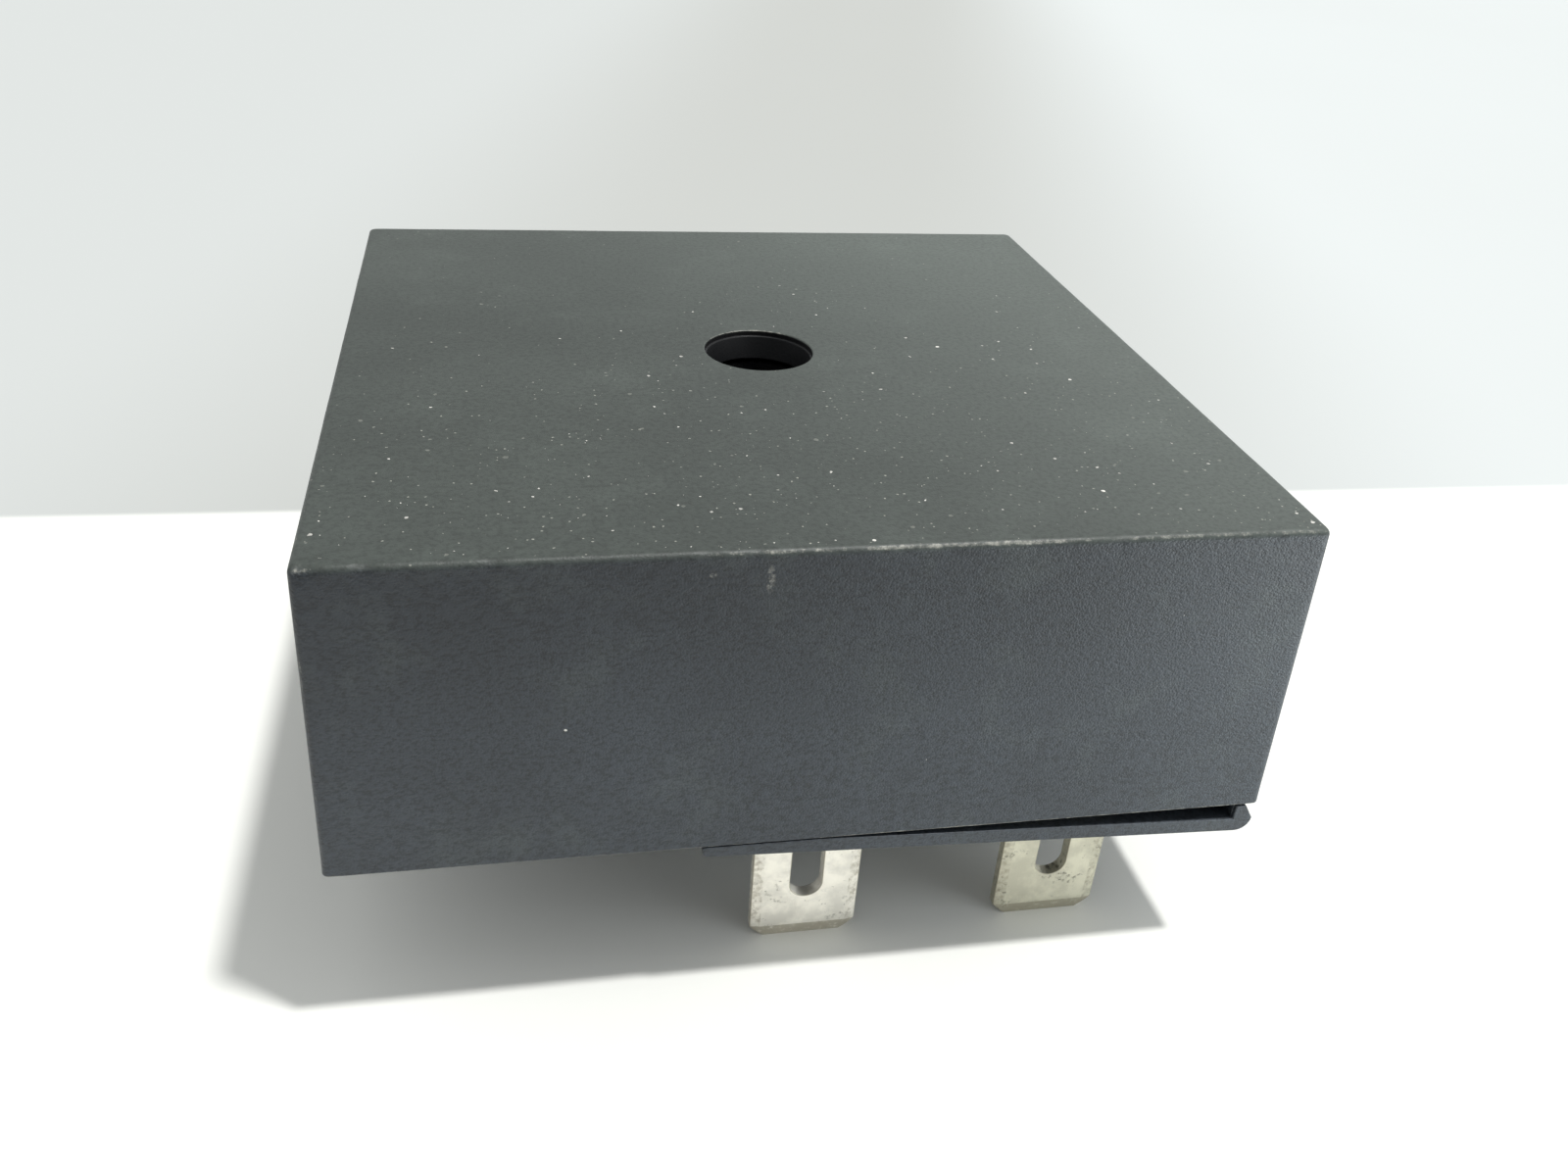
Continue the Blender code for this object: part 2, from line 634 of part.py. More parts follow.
def armature(material):
    """Iron flap that tilts on the yoke's end, with two pips that carry the contact spring."""
    face = from_pivot(y=ARMATURE_FACE)[1]
    plate = box(
        (-ARMATURE_WIDTH / 2, face - ARMATURE_THICKNESS, -ARMATURE_FOOT),
        (ARMATURE_WIDTH / 2, face, ARMATURE_HEIGHT),
    )
    made = piece("armature", plate, material, PIVOT)
    end = from_pivot(y=LEAF_FRONT)[1] - SMALL_SEAT
    pips = [
        rod(LEAF_PIP_RADIUS, "Y", end, face - ARMATURE_THICKNESS / 2, (x, CONTACT_HEIGHT), COARSE)
        for x in LEAF_PIPS
    ]
    fuse(made, together(*pips))
    return made


def contact_spring(material):
    """Leaf on the armature that reaches sideways to the moving contact."""
    left = from_pivot(x=CONTACT_X)[0] - CONTACT_RADIUS
    right = LEAF_PIPS[-1] + LEAF_END
    low, high = CONTACT_HEIGHT - LEAF_HEIGHT / 2, CONTACT_HEIGHT + LEAF_HEIGHT / 2
    front, back = from_pivot(y=LEAF_FRONT)[1], from_pivot(y=LEAF_BACK)[1]
    strip = prism(rectangle(left, right, low, high), "Y", front, back)
    made = piece("contact_spring", strip, material, PIVOT)
    middles = [(x, LEAF_PIP_RADIUS + SMALL_SEAT) for x in LEAF_PIPS]
    middles.append((from_pivot(x=CONTACT_X)[0], CONTACT_SHANK + SMALL_SEAT))
    holes = [
        rod(radius, "Y", front - SEAT, back + SEAT, (x, CONTACT_HEIGHT), COARSE) for x, radius in middles
    ]
    cut(made, together(*holes))
    return made


def moving_contact(material):
    """Double-headed rivet in the contact spring."""
    centre = (from_pivot(x=CONTACT_X)[0], CONTACT_HEIGHT)
    front, back = from_pivot(y=MOVING_FRONT)[1], from_pivot(y=MOVING_BACK)[1]
    profile = [
        (0, front),
        (CONTACT_RADIUS, front),
        (CONTACT_RADIUS, front + CONTACT_HEAD),
        (CONTACT_SHANK, front + CONTACT_HEAD),
        (CONTACT_SHANK, back - CONTACT_HEAD),
        (CONTACT_RADIUS, back - CONTACT_HEAD),
        (CONTACT_RADIUS, back),
        (0, back),
    ]
    return piece("moving_contact", turned(profile, "Y", centre), material, PIVOT)


def fixed_contact(name, arm_y, side, arm_material, contact_material):
    """An upright arm and its rivet. Side is -1 where the rivet's head points to the front."""
    left, right = CONTACT_X - ARM_WIDTH / 2, CONTACT_X + ARM_WIDTH / 2
    pin_left, pin_right = CONTACT_X - ARM_PIN_WIDTH / 2, CONTACT_X + ARM_PIN_WIDTH / 2
    low, high = RELAY_FLOOR + SMALL_SEAT, CONTACT_Z + LEAF_HEIGHT / 2 + ARM_ABOVE_LEAF
    points = [(left, low), (pin_left, low), (pin_left, LEAD_END), (pin_right, LEAD_END)]
    points += [(pin_right, low), (right, low), (right, high), (left, high)]
    arm = piece(
        f"{name}_arm", prism(points, "Y", arm_y - ARM_THICKNESS / 2, arm_y + ARM_THICKNESS / 2), arm_material
    )
    bore = CONTACT_SHANK + SMALL_SEAT
    cut(arm, rod(bore, "Y", arm_y - ARM_THICKNESS, arm_y + ARM_THICKNESS, (CONTACT_X, CONTACT_Z), COARSE))
    reach = ARM_THICKNESS / 2 + SMALL_SEAT
    tail = CONTACT_SHANK + 2 * SMALL_SEAT
    profile = [
        (0, arm_y + side * (reach + CONTACT_HEAD)),
        (CONTACT_RADIUS, arm_y + side * (reach + CONTACT_HEAD)),
        (CONTACT_RADIUS, arm_y + side * reach),
        (CONTACT_SHANK, arm_y + side * reach),
        (CONTACT_SHANK, arm_y - side * reach),
        (tail, arm_y - side * reach),
        (tail, arm_y - side * (reach + CONTACT_HEAD / 2)),
        (0, arm_y - side * (reach + CONTACT_HEAD / 2)),
    ]
    piece(f"{name}_contact", turned(profile, "Y", (CONTACT_X, CONTACT_Z)), contact_material)


def return_spring(material):
    """Bent leaf, held under the yoke, that presses the armature's foot back."""
    outside = ARMATURE_FACE - ARMATURE_THICKNESS - SEAT - SPRING_THICKNESS
    low = RELAY_FLOOR + SMALL_SEAT
    side = [
        (outside, low),
        (outside + SPRING_LENGTH, low),
        (outside + SPRING_LENGTH, low + SPRING_THICKNESS),
        (outside + SPRING_THICKNESS, low + SPRING_THICKNESS),
        (outside + SPRING_THICKNESS, low + SPRING_HEIGHT),
        (outside, low + SPRING_HEIGHT),
    ]
    shape = prism(side, "X", COIL_X - SPRING_WIDTH / 2, COIL_X + SPRING_WIDTH / 2)
    return piece("return_spring", shape, material)


def axial_part(name, radius, length, span, x, y, material):
    """A body lying along Y with a lead bent down at each end. Returns where its leads pass the board."""
    height = BOARD_TOP + SEAT + radius
    ends = [y - length / 2, y + length / 2]
    rim = radius * END_ROUNDING
    profile = [(0, ends[0]), (radius - rim, ends[0]), (radius, ends[0] + rim)]
    profile += [(radius, ends[1] - rim), (radius - rim, ends[1]), (0, ends[1])]
    made = piece(name, turned(profile, "Y", (x, height), COARSE), material)
    outer, inner = span / 2 + LEAD / 2, span / 2 - LEAD / 2
    top, under = height + LEAD / 2, height - LEAD / 2
    lead = [
        (y - outer, LEAD_END),
        (y - inner, LEAD_END),
        (y - inner, under),
        (y + inner, under),
        (y + inner, LEAD_END),
        (y + outer, LEAD_END),
        (y + outer, top),
        (y - outer, top),
    ]
    fuse(made, prism(lead, "X", x - LEAD / 2, x + LEAD / 2))
    return [(x, y + side * span / 2, LEAD, LEAD) for side in (-1, 1)]


def diodes(material):
    """Four rectifier diodes and the one across the coil, in a row between the front blades and the sleeve."""
    holes = []
    first = RELAY_LEFT - RELAY_COVER_WALL - DIODE_TO_RELAY
    y = DIODES_FROM_BLADES - ROW_Y
    names = ["flyback_diode"] + [f"rectifier_diode_{number}" for number in (4, 3, 2, 1)]
    for place, name in enumerate(names):
        x = first - place * DIODE_PITCH
        holes += axial_part(name, DIODE_RADIUS, DIODE_LENGTH, DIODE_LEAD_SPAN, x, y, material)
    return holes


def resistors(material):
    holes = []
    y = ROW_Y - REAR_PARTS_FROM_BLADES
    for name, x in RESISTOR_X.items():
        holes += axial_part(name, RESISTOR_RADIUS, RESISTOR_LENGTH, RESISTOR_LEAD_SPAN, x, y, material)
    return holes


def legs(target, places, top):
    """Straight leads down through the board."""
    fuse(target, together(*[pin_box(x, y, LEAD, LEAD, LEAD_END, top) for x, y in places]))
    return [(x, y, LEAD, LEAD) for x, y in places]


def film_capacitor(material):
    width, length, height = FILM_CAPACITOR
    x, y = FILM_CAPACITOR_X, ROW_Y - REAR_PARTS_FROM_BLADES
    bottom = BOARD_TOP + SEAT
    made = piece("film_capacitor", pin_box(x, y, width, length, bottom, bottom + height), material)
    return legs(made, [(x, y + side * FILM_LEAD_SPAN / 2) for side in (-1, 1)], bottom + height / 4)


def smoothing_capacitor(material):
    """Can lying along Y, with its leads bent down in front of it."""
    height = BOARD_TOP + SEAT + CAN_RADIUS
    back = ROW_Y - REAR_PARTS_FROM_BLADES + SEAT
    front = back - CAN_LENGTH
    edge, neck = CAN_RADIUS * CAN_ROUNDING, CAN_RADIUS * CAN_NECK
    profile = [(0, front), (CAN_RADIUS - edge, front), (CAN_RADIUS, front + edge)]
    profile += [(CAN_RADIUS, front + 2 * edge), (neck, front + 4 * edge), (CAN_RADIUS, front + 6 * edge)]
    profile += [(CAN_RADIUS, back - edge), (CAN_RADIUS - edge, back), (0, back)]
    made = piece("smoothing_capacitor", turned(profile, "Y", (CAN_X, height)), material)
    drop = front - CAN_LEAD_OUT
    side = [
        (drop - LEAD / 2, LEAD_END),
        (drop + LEAD / 2, LEAD_END),
        (drop + LEAD / 2, height - LEAD / 2),
        (front + CAN_LENGTH / 4, height - LEAD / 2),
        (front + CAN_LENGTH / 4, height + LEAD / 2),
        (drop - LEAD / 2, height + LEAD / 2),
    ]
    columns = [CAN_X - CAN_LEAD_SPAN / 2, CAN_X + CAN_LEAD_SPAN / 2]
    fuse(made, together(*[prism(side, "X", x - LEAD / 2, x + LEAD / 2) for x in columns]))
    return [(x, drop, LEAD, LEAD) for x in columns]


def varistor(material):
    """Coated disc on edge, across the supply."""
    height = BOARD_TOP + VARISTOR_STANDOFF + VARISTOR_RADIUS
    y = DIODES_FROM_BLADES - ROW_Y + LEAD
    half = VARISTOR_THICKNESS / 2
    rim = VARISTOR_RADIUS - half / 2
    profile = [(0, VARISTOR_X - half), (rim, VARISTOR_X - half), (VARISTOR_RADIUS, VARISTOR_X - half / 2)]
    profile += [(VARISTOR_RADIUS, VARISTOR_X + half / 2), (rim, VARISTOR_X + half), (0, VARISTOR_X + half)]
    made = piece("varistor", turned(profile, "X", (y, height)), material)
    return legs(made, [(VARISTOR_X, y + side * VARISTOR_LEAD_SPAN / 2) for side in (-1, 1)], height)


def relay(plastic, clear, iron, copper, spring, silver, tin):
    relay_base(plastic)
    relay_cover(clear)
    yoke(iron)
    core(iron)
    coil_bobbin(plastic)
    coil_winding(copper)
    coil_pins(tin)
    armature(iron)
    contact_spring(spring)
    moving_contact(silver)
    return_spring(spring)
    fixed_contact("normally_open", open_arm_y(), -1, spring, silver)
    fixed_contact("normally_closed", closed_arm_y(), 1, spring, silver)


def main():
    for old in list(bpy.data.objects):
        bpy.data.objects.remove(old)
    moulding = finish("slate_moulding", (0.045, 0.052, 0.056), 0.55)
    tinned = finish("tinned_brass", (0.62, 0.61, 0.57), 0.38, 1.0)
    nylon = finish("natural_nylon", (0.72, 0.68, 0.56), 0.5)
    iron = finish("nickelled_iron", (0.5, 0.49, 0.46), 0.35, 1.0)
    ceramic = finish("resistor_enamel", (0.25, 0.42, 0.5), 0.45)
    housing(moulding)
    base_cover(moulding)
    mounting_sleeve(finish("sleeve_plastic", (0.02, 0.02, 0.022), 0.6))
    for number, place in enumerate(blade_places(), 1):
        terminal_blade(number, place, tinned)
    relay(
        nylon,
        finish("relay_cover_blue", (0.05, 0.14, 0.32), 0.4),
        iron,
        finish("enamelled_copper", (0.55, 0.2, 0.07), 0.35, 0.8),
        finish("spring_bronze", (0.66, 0.42, 0.2), 0.35, 1.0),
        finish("contact_silver", (0.8, 0.79, 0.76), 0.25, 1.0),
        tinned,
    )
    holes = blade_holes() + relay_holes()
    holes += diodes(finish("diode_epoxy", (0.02, 0.02, 0.02), 0.4))
    holes += resistors(ceramic)
    holes += film_capacitor(finish("capacitor_yellow", (0.62, 0.4, 0.06), 0.45))
    holes += smoothing_capacitor(finish("can_sleeve", (0.03, 0.04, 0.07), 0.35))
    holes += varistor(finish("varistor_coat", (0.1, 0.22, 0.5), 0.5))
    circuit_board(finish("board_laminate", (0.3, 0.34, 0.12), 0.5), holes)


main()
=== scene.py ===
"""Plug-in relay module: the finishes and fine shapes of its pieces, with a floor, lights and a camera.

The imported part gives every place. Shapes are worked out in millimetres in the part's own frame, with +X
to the right along the front, +Y to the back and +Z up from the blade tips, and are stored in metres.
"""

import json
import logging
import math
import random
from collections.abc import Iterable, Sequence
from dataclasses import dataclass, field
from enum import Enum

import bmesh
import bpy
from mathutils import Matrix, Vector, noise

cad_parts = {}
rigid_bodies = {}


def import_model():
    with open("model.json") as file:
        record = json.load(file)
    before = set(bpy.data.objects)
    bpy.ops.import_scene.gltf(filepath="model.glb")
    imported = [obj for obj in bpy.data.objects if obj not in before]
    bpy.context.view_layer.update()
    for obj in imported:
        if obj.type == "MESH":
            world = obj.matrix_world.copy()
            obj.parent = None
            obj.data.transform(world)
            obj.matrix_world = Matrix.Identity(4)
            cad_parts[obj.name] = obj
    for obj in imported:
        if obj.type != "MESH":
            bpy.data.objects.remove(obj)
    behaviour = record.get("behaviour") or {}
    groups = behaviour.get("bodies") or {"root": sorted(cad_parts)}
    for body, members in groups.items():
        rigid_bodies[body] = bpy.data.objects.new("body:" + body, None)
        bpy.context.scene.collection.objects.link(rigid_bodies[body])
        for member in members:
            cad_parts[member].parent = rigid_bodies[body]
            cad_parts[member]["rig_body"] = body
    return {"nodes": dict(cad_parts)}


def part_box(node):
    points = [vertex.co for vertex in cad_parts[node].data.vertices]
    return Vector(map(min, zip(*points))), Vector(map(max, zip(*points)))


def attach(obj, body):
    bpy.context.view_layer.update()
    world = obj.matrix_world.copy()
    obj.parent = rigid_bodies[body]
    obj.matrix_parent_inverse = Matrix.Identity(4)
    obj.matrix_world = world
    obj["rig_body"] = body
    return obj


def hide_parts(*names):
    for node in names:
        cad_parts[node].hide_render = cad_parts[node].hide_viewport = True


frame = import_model()

MM = 0.001
SHARP_FROM = math.radians(38)
CREASE_FROM = SHARP_FROM * 1.5
FLAT_WITHIN = math.radians(1)
WELD = 0.001

Point = tuple[float, float, float]
Flat = tuple[float, float]
Colour = tuple[float, float, float]
Socket = bpy.types.NodeSocket

BLACK: Colour = (0.0, 0.0, 0.0)
# A Mix node's colour sockets, whose names repeat for every kind of value.
MIX_FIRST, MIX_SECOND, MIX_COLOUR = 6, 7, 2

log = logging.getLogger("relay_scene")


class Axis(Enum):
    """An axis of the part, by its place in X, Y, Z order."""

    X = 0
    Y = 1
    Z = 2

    def point(self, along: float, u: float, v: float) -> Point:
        """A point from its place along the axis and its two other coordinates in X, Y, Z order.

        Args:
            along: its place along the axis.
            u: the first other coordinate.
            v: the second.

        Returns:
            The point.
        """
        made = [u, v]
        made.insert(self.value, along)
        return tuple(made)


class Sum(Enum):
    """The sums that a material's nodes do."""

    ADD = "ADD"
    MULTIPLY = "MULTIPLY"
    LARGER = "MAXIMUM"
    IS_LESS = "LESS_THAN"
    SINE = "SINE"
    ROOT = "SQRT"


class Bench:
    """Adds nodes to a tree and wires them."""

    def __init__(self, tree: bpy.types.NodeTree) -> None:
        """Takes the tree to work on.

        Args:
            tree: the tree.
        """
        self.tree = tree

    def node(self, kind: str, **settings: object) -> bpy.types.Node:
        """Adds a node.

        Args:
            kind: the node's type.
            **settings: its properties.

        Returns:
            The new node.
        """
        made = self.tree.nodes.new(kind)
        for key, value in settings.items():
            setattr(made, key, value)
        return made

    def feed(self, socket: Socket, value: Socket | float | Sequence[float]) -> None:
        """Gives an input its value.

        Args:
            socket: the input.
            value: an output to link, a number or a colour.
        """
        if isinstance(value, bpy.types.NodeSocket):
            self.tree.links.new(value, socket)
        elif socket.type == "RGBA":
            socket.default_value = (*value, 1)
        else:
            socket.default_value = value

    def axes(self, vector: Socket) -> Sequence[Socket]:
        """The X, Y and Z of a vector.

        Args:
            vector: the vector.

        Returns:
            Its three values.
        """
        split = self.node("ShaderNodeSeparateXYZ")
        self.feed(split.inputs[0], vector)
        return split.outputs

    def math(self, operation: Sum, first: Socket | float, second: Socket | float = 0.0) -> Socket:
        """One sum.

        Args:
            operation: which sum.
            first: its first term.
            second: its second term.

        Returns:
            The result.
        """
        made = self.node("ShaderNodeMath", operation=operation.value)
        self.feed(made.inputs[0], first)
        self.feed(made.inputs[1], second)
        return made.outputs[0]

    def total(self, *terms: Socket | float) -> Socket:
        """All the terms added up.

        Args:
            *terms: what is added.

        Returns:
            Their total.
        """
        made = terms[0]
        for term in terms[1:]:
            made = self.math(Sum.ADD, made, term)
        return made

    def product(self, *terms: Socket | float) -> Socket:
        """All the terms multiplied.

        Args:
            *terms: what is multiplied.

        Returns:
            Their product.
        """
        made = terms[0]
        for term in terms[1:]:
            made = self.math(Sum.MULTIPLY, made, term)
        return made

    def ramp(self, value: Socket, low: float, high: float, start: float = 0.0, end: float = 1.0) -> Socket:
        """A smooth step from start to end as the value goes from low to high, and level outside.

        Args:
            value: what is read.
            low: where the step starts.
            high: where it ends.
            start: the result at low.
            end: the result at high.

        Returns:
            The result.
        """
        made = self.node("ShaderNodeMapRange", interpolation_type="SMOOTHSTEP")
        given = {"Value": value, "From Min": low, "From Max": high, "To Min": start, "To Max": end}
        for name, term in given.items():
            self.feed(made.inputs[name], term)
        return made.outputs["Result"]

    def span(self, share: Socket, start: float, end: float) -> Socket:
        """A smooth step from start to end as a share goes from 0 to 1."""
        return self.ramp(share, 0.0, 1.0, start, end)

    def mixed(self, share: Socket | float, first: Socket | Colour, second: Socket | Colour) -> Socket:
        """A colour between two.

        Args:
            share: how much of the second.
            first: the colour at 0.
            second: the colour at 1.

        Returns:
            The colour.
        """
        made = self.node("ShaderNodeMix", data_type="RGBA")
        self.feed(made.inputs[0], share)
        self.feed(made.inputs[MIX_FIRST], first)
        self.feed(made.inputs[MIX_SECOND], second)
        return made.outputs[MIX_COLOUR]


class Recipe(Bench):
    """A procedural material in the making. Its patterns are sized in millimetres of the object."""

    def __init__(self, name: str) -> None:
        """Starts a material.

        Args:
            name: what the material is called.
        """
        self.material = bpy.data.materials.new(name)
        self.material.use_nodes = True
        super().__init__(self.material.node_tree)
        self.shader = self.tree.nodes["Principled BSDF"]
        scaled = self.node("ShaderNodeVectorMath", operation="SCALE")
        self.feed(scaled.inputs[0], self.node("ShaderNodeTexCoord").outputs["Object"])
        self.feed(scaled.inputs["Scale"], 1 / MM)
        self.place = scaled.outputs[0]
        self.x, self.y, self.z = self.axes(self.place)

    def stretched(self, x: float, y: float, z: float) -> Socket:
        """The place with each axis multiplied, for a pattern that is longer one way.

        Args:
            x: factor along X.
            y: factor along Y.
            z: factor along Z.

        Returns:
            The new coordinates.
        """
        made = self.node("ShaderNodeVectorMath", operation="MULTIPLY")
        self.feed(made.inputs[0], self.place)
        self.feed(made.inputs[1], (x, y, z))
        return made.outputs[0]

    def noise(
        self, size: float, detail: float = 2, roughness: float = 0.5, at: Socket | None = None
    ) -> Socket:
        """Cloudy noise about 0.5.

        Args:
            size: width of its broadest features.
            detail: how many finer layers it has.
            roughness: how strong those are.
            at: other coordinates to read.

        Returns:
            Its value.
        """
        made = self.node("ShaderNodeTexNoise")
        self.feed(made.inputs["Vector"], at or self.place)
        self.feed(made.inputs["Scale"], 1 / size)
        self.feed(made.inputs["Detail"], detail)
        self.feed(made.inputs["Roughness"], roughness)
        return made.outputs["Fac"]

    def cells(self, size: float) -> bpy.types.Node:
        """Random cells.

        Args:
            size: their width.

        Returns:
            The node, with its Distance from a cell's middle and its Color, which is random for each cell.
        """
        made = self.node("ShaderNodeTexVoronoi")
        self.feed(made.inputs["Vector"], self.place)
        self.feed(made.inputs["Scale"], 1 / size)
        return made

    def wear(self) -> Socket:
        """How far each point of a piece is worn, which its mesh carries."""
        return self.node("ShaderNodeAttribute", attribute_name="wear").outputs["Fac"]

    def bump(self, height: Socket, depth: float, over: Socket | None = None) -> Socket:
        """A bumped normal.

        Args:
            height: the relief from 0 to 1.
            depth: how deep it is, in millimetres.
            over: a normal that it is laid over.

        Returns:
            The normal.
        """
        made = self.node("ShaderNodeBump")
        self.feed(made.inputs["Distance"], depth * MM)
        self.feed(made.inputs["Height"], height)
        if over:
            self.feed(made.inputs["Normal"], over)
        return made.outputs["Normal"]

    def finish(
        self, colour: Socket, roughness: Socket, normal: Socket, **levels: float
    ) -> bpy.types.Material:
        """Wires the shader.

        Args:
            colour: the base colour.
            roughness: its roughness.
            normal: its bumped normal.
            **levels: other inputs of the shader, such as metallic, that are the same all over.

        Returns:
            The material.
        """
        self.feed(self.shader.inputs["Base Color"], colour)
        self.feed(self.shader.inputs["Roughness"], roughness)
        self.feed(self.shader.inputs["Normal"], normal)
        for name, value in levels.items():
            self.feed(self.shader.inputs[name.replace("_", " ").title().replace("Ior", "IOR")], value)
        return self.material


@dataclass(frozen=True)
class Finish:
    """A finish that pieces share. Each kind below paints itself."""

    name: str
    colour: Colour
    roughness: float

    def paint(self, recipe: Recipe) -> bpy.types.Material:
        """Wires the finish's nodes.

        Args:
            recipe: the material to wire.

        Returns:
            The material.
        """
        raise NotImplementedError

    def material(self) -> bpy.types.Material:
        """The finish's material, made once."""
        name = f"{self.name}_finish"
        return bpy.data.materials.get(name) or self.paint(Recipe(name))

    def shade(self, factor: float) -> Colour:
        """The finish's colour, lighter or darker by a factor."""
        return tuple(min(1.0, channel * factor) for channel in self.colour)


@dataclass(frozen=True)
class Scuff:
    """A faint rubbed mark on the front wall."""

    x: float
    z: float
    width: float
    height: float


@dataclass(frozen=True)
class SpeckLayer:
    """Specks of dust of one size: the pitch of their cells, the largest's radius and how many there are."""

    pitch: float
    radius: float
    share: float


@dataclass(frozen=True)
class GrainedMoulding(Finish):
    """Spark-grained slate-grey plastic: dusty on top with a painted sheen, its walls a darker, cooler copy
    painted as shade and floor bounce, and pale edges partly rubbed and partly a painted highlight.
    """

    # Painted shade: the walls take a darker, bluer copy of the slate colour, standing in for the dimmer,
    # cooler light on them.
    cool_shaded_wall_colour: Colour = (0.042, 0.051, 0.062)
    # Pale colour of rubbed edges and scuffs, which also paints the highlights on the front top edge and the
    # screw hole's back rim.
    rubbed: Colour = (0.48, 0.47, 0.41)
    # Painted shade: the near-black colour of the screw hole's skin, standing in for the shade inside the
    # hole.
    bare: Colour = (0.0035, 0.004, 0.005)
    dust: Colour = (0.46, 0.46, 0.4)
    hole: float = 3.35
    top: float = 28.05
    grain: float = 0.205
    grain_depth: float = 0.0175
    scuffs: tuple[Scuff, ...] = (Scuff(-3.66, 26.5, 0.24, 0.85), Scuff(-6.4, 26.9, 0.2, 0.2))
    scuff_strength: float = 0.4
    speck_layers: tuple[SpeckLayer, ...] = (SpeckLayer(0.42, 0.055, 0.42), SpeckLayer(1.2, 0.12, 0.34))

    def specks(self, recipe: Recipe, layer: SpeckLayer) -> Socket:
        """Where settled dust lies, more of it towards the front.

        Args:
            recipe: the material to wire.
            layer: the size and number of its specks.

        Returns:
            How strongly a speck shows, on the top face alone.
        """
        cell = recipe.cells(layer.pitch)
        pick = recipe.node("ShaderNodeSeparateColor")
        recipe.feed(pick.inputs[0], cell.outputs["Color"])
        crowd = recipe.product(recipe.noise(7.0, 2), 0.9)
        front = recipe.ramp(recipe.y, -18.0, 8.0, 0.2, -0.16)
        likely = recipe.total(pick.outputs[0], crowd, front)
        chosen = recipe.ramp(likely, 1.45 - layer.share, 1.75 - layer.share)
        spread = recipe.total(recipe.product(pick.outputs[1], 0.8), 0.4)
        reach = recipe.product(chosen, spread, layer.radius)
        uneven = recipe.product(recipe.total(recipe.noise(layer.radius * 2, 1), -0.5), layer.radius * 2.4)
        away = recipe.total(recipe.product(cell.outputs["Distance"], layer.pitch), uneven)
        near = recipe.math(Sum.IS_LESS, away, reach)
        faint = recipe.total(recipe.product(pick.outputs[2], pick.outputs[2], 0.85), 0.15)
        return recipe.product(near, faint, recipe.ramp(recipe.z, self.top - 0.3, self.top - 0.1))

    def marks(self, recipe: Recipe) -> Socket:
        """How strongly the scuffs on the front wall show.

        Args:
            recipe: the material to wire.

        Returns:
            The strength, from 0 to 1.
        """
        made = 0.0
        for scuff in self.scuffs:
            across = recipe.product(recipe.total(recipe.x, -scuff.x), 1 / scuff.width)
            up = recipe.product(recipe.total(recipe.z, -scuff.z), 1 / scuff.height)
            away = recipe.total(recipe.product(across, across), recipe.product(up, up))
            made = recipe.total(made, recipe.ramp(away, 0.0, 1.1, 1.0, 0.0))
        broken = recipe.ramp(recipe.noise(0.3, 3, 0.7), 0.38, 0.62)
        return recipe.product(made, broken, recipe.ramp(recipe.y, -24.6, -24.2, 1.0, 0.0))

    def in_hole(self, recipe: Recipe) -> Socket:
        """1 on the screw hole's skin below its rim, which is painted near black as shade and kept smooth and
        free of dust.

        Args:
            recipe: the material to wire.

        Returns:
            1 there and 0 elsewhere.
        """
        squares = recipe.total(recipe.product(recipe.x, recipe.x), recipe.product(recipe.y, recipe.y))
        away = recipe.math(Sum.ROOT, squares)
        below = recipe.ramp(recipe.z, self.top - 0.12, self.top - 0.04, 1.0, 0.0)
        return recipe.product(recipe.ramp(away, self.hole, self.hole + 0.12, 1.0, 0.0), below)

    def dusty(self, recipe: Recipe, on_top: Socket, mottle: Socket) -> Socket:
        """The plastic's colour, mottled, with painted floor bounce that makes the walls lighter at their
        foot and darker at their top, under a haze of dust and a painted sheen.

        Args:
            recipe: the material to wire.
            on_top: 1 on the top face.
            mottle: fine unevenness.

        Returns:
            The colour.
        """
        # Painted floor bounce: the walls lighter near the floor and darker towards the top.
        painted_bounce_ramp = recipe.ramp(recipe.z, 9.0, 28.0, 1.34, 0.6)
        flat = recipe.mixed(on_top, recipe.mixed(painted_bounce_ramp, BLACK, self.cool_shaded_wall_colour), self.colour)
        cloudy = recipe.ramp(recipe.total(recipe.noise(9.0, 3), mottle), 0.8, 1.25)
        tone = recipe.mixed(cloudy, recipe.mixed(0.2, flat, BLACK), flat)
        # Painted sheen: the top face paler towards the right and the back, standing in for the brighter
        # surroundings it reflects there.
        bearing = recipe.total(recipe.x, recipe.product(recipe.y, 0.4))
        to_right = recipe.ramp(bearing, -8.0, 28.0, 0.04, 0.52)
        to_back = recipe.ramp(recipe.y, 0.0, 25.0, 0.0, 0.12)
        painted_sheen = recipe.product(recipe.total(to_right, to_back), on_top)
        patches = recipe.product(recipe.ramp(recipe.noise(5.0, 4, 0.65), 0.5, 0.75), 0.16)
        return recipe.mixed(recipe.total(patches, painted_sheen), tone, self.shade(2.2))

    def chips_and_edge_highlight(self, recipe: Recipe) -> Socket:
        """How far the edges are pale: rubbed chips that gather at the front's left corner, and a painted
        highlight along the front top edge that grows to the right.

        Args:
            recipe: the material to wire.

        Returns:
            The share, from 0 to 1.
        """
        fine_bite = recipe.product(recipe.noise(0.4, 4, 0.75), 1.1)
        bite = recipe.total(fine_bite, recipe.product(recipe.noise(5.0, 2), 0.5))
        # Painted highlight: the pale front edge stronger towards the right.
        to_right = recipe.ramp(recipe.x, -14.0, 6.0, -0.16, 0.06)
        along = recipe.total(to_right, recipe.ramp(recipe.x, -25.1, -23.8, 0.35, 0.0))
        return recipe.ramp(recipe.total(recipe.product(recipe.wear(), 0.9), bite, along), 1.34, 1.84)

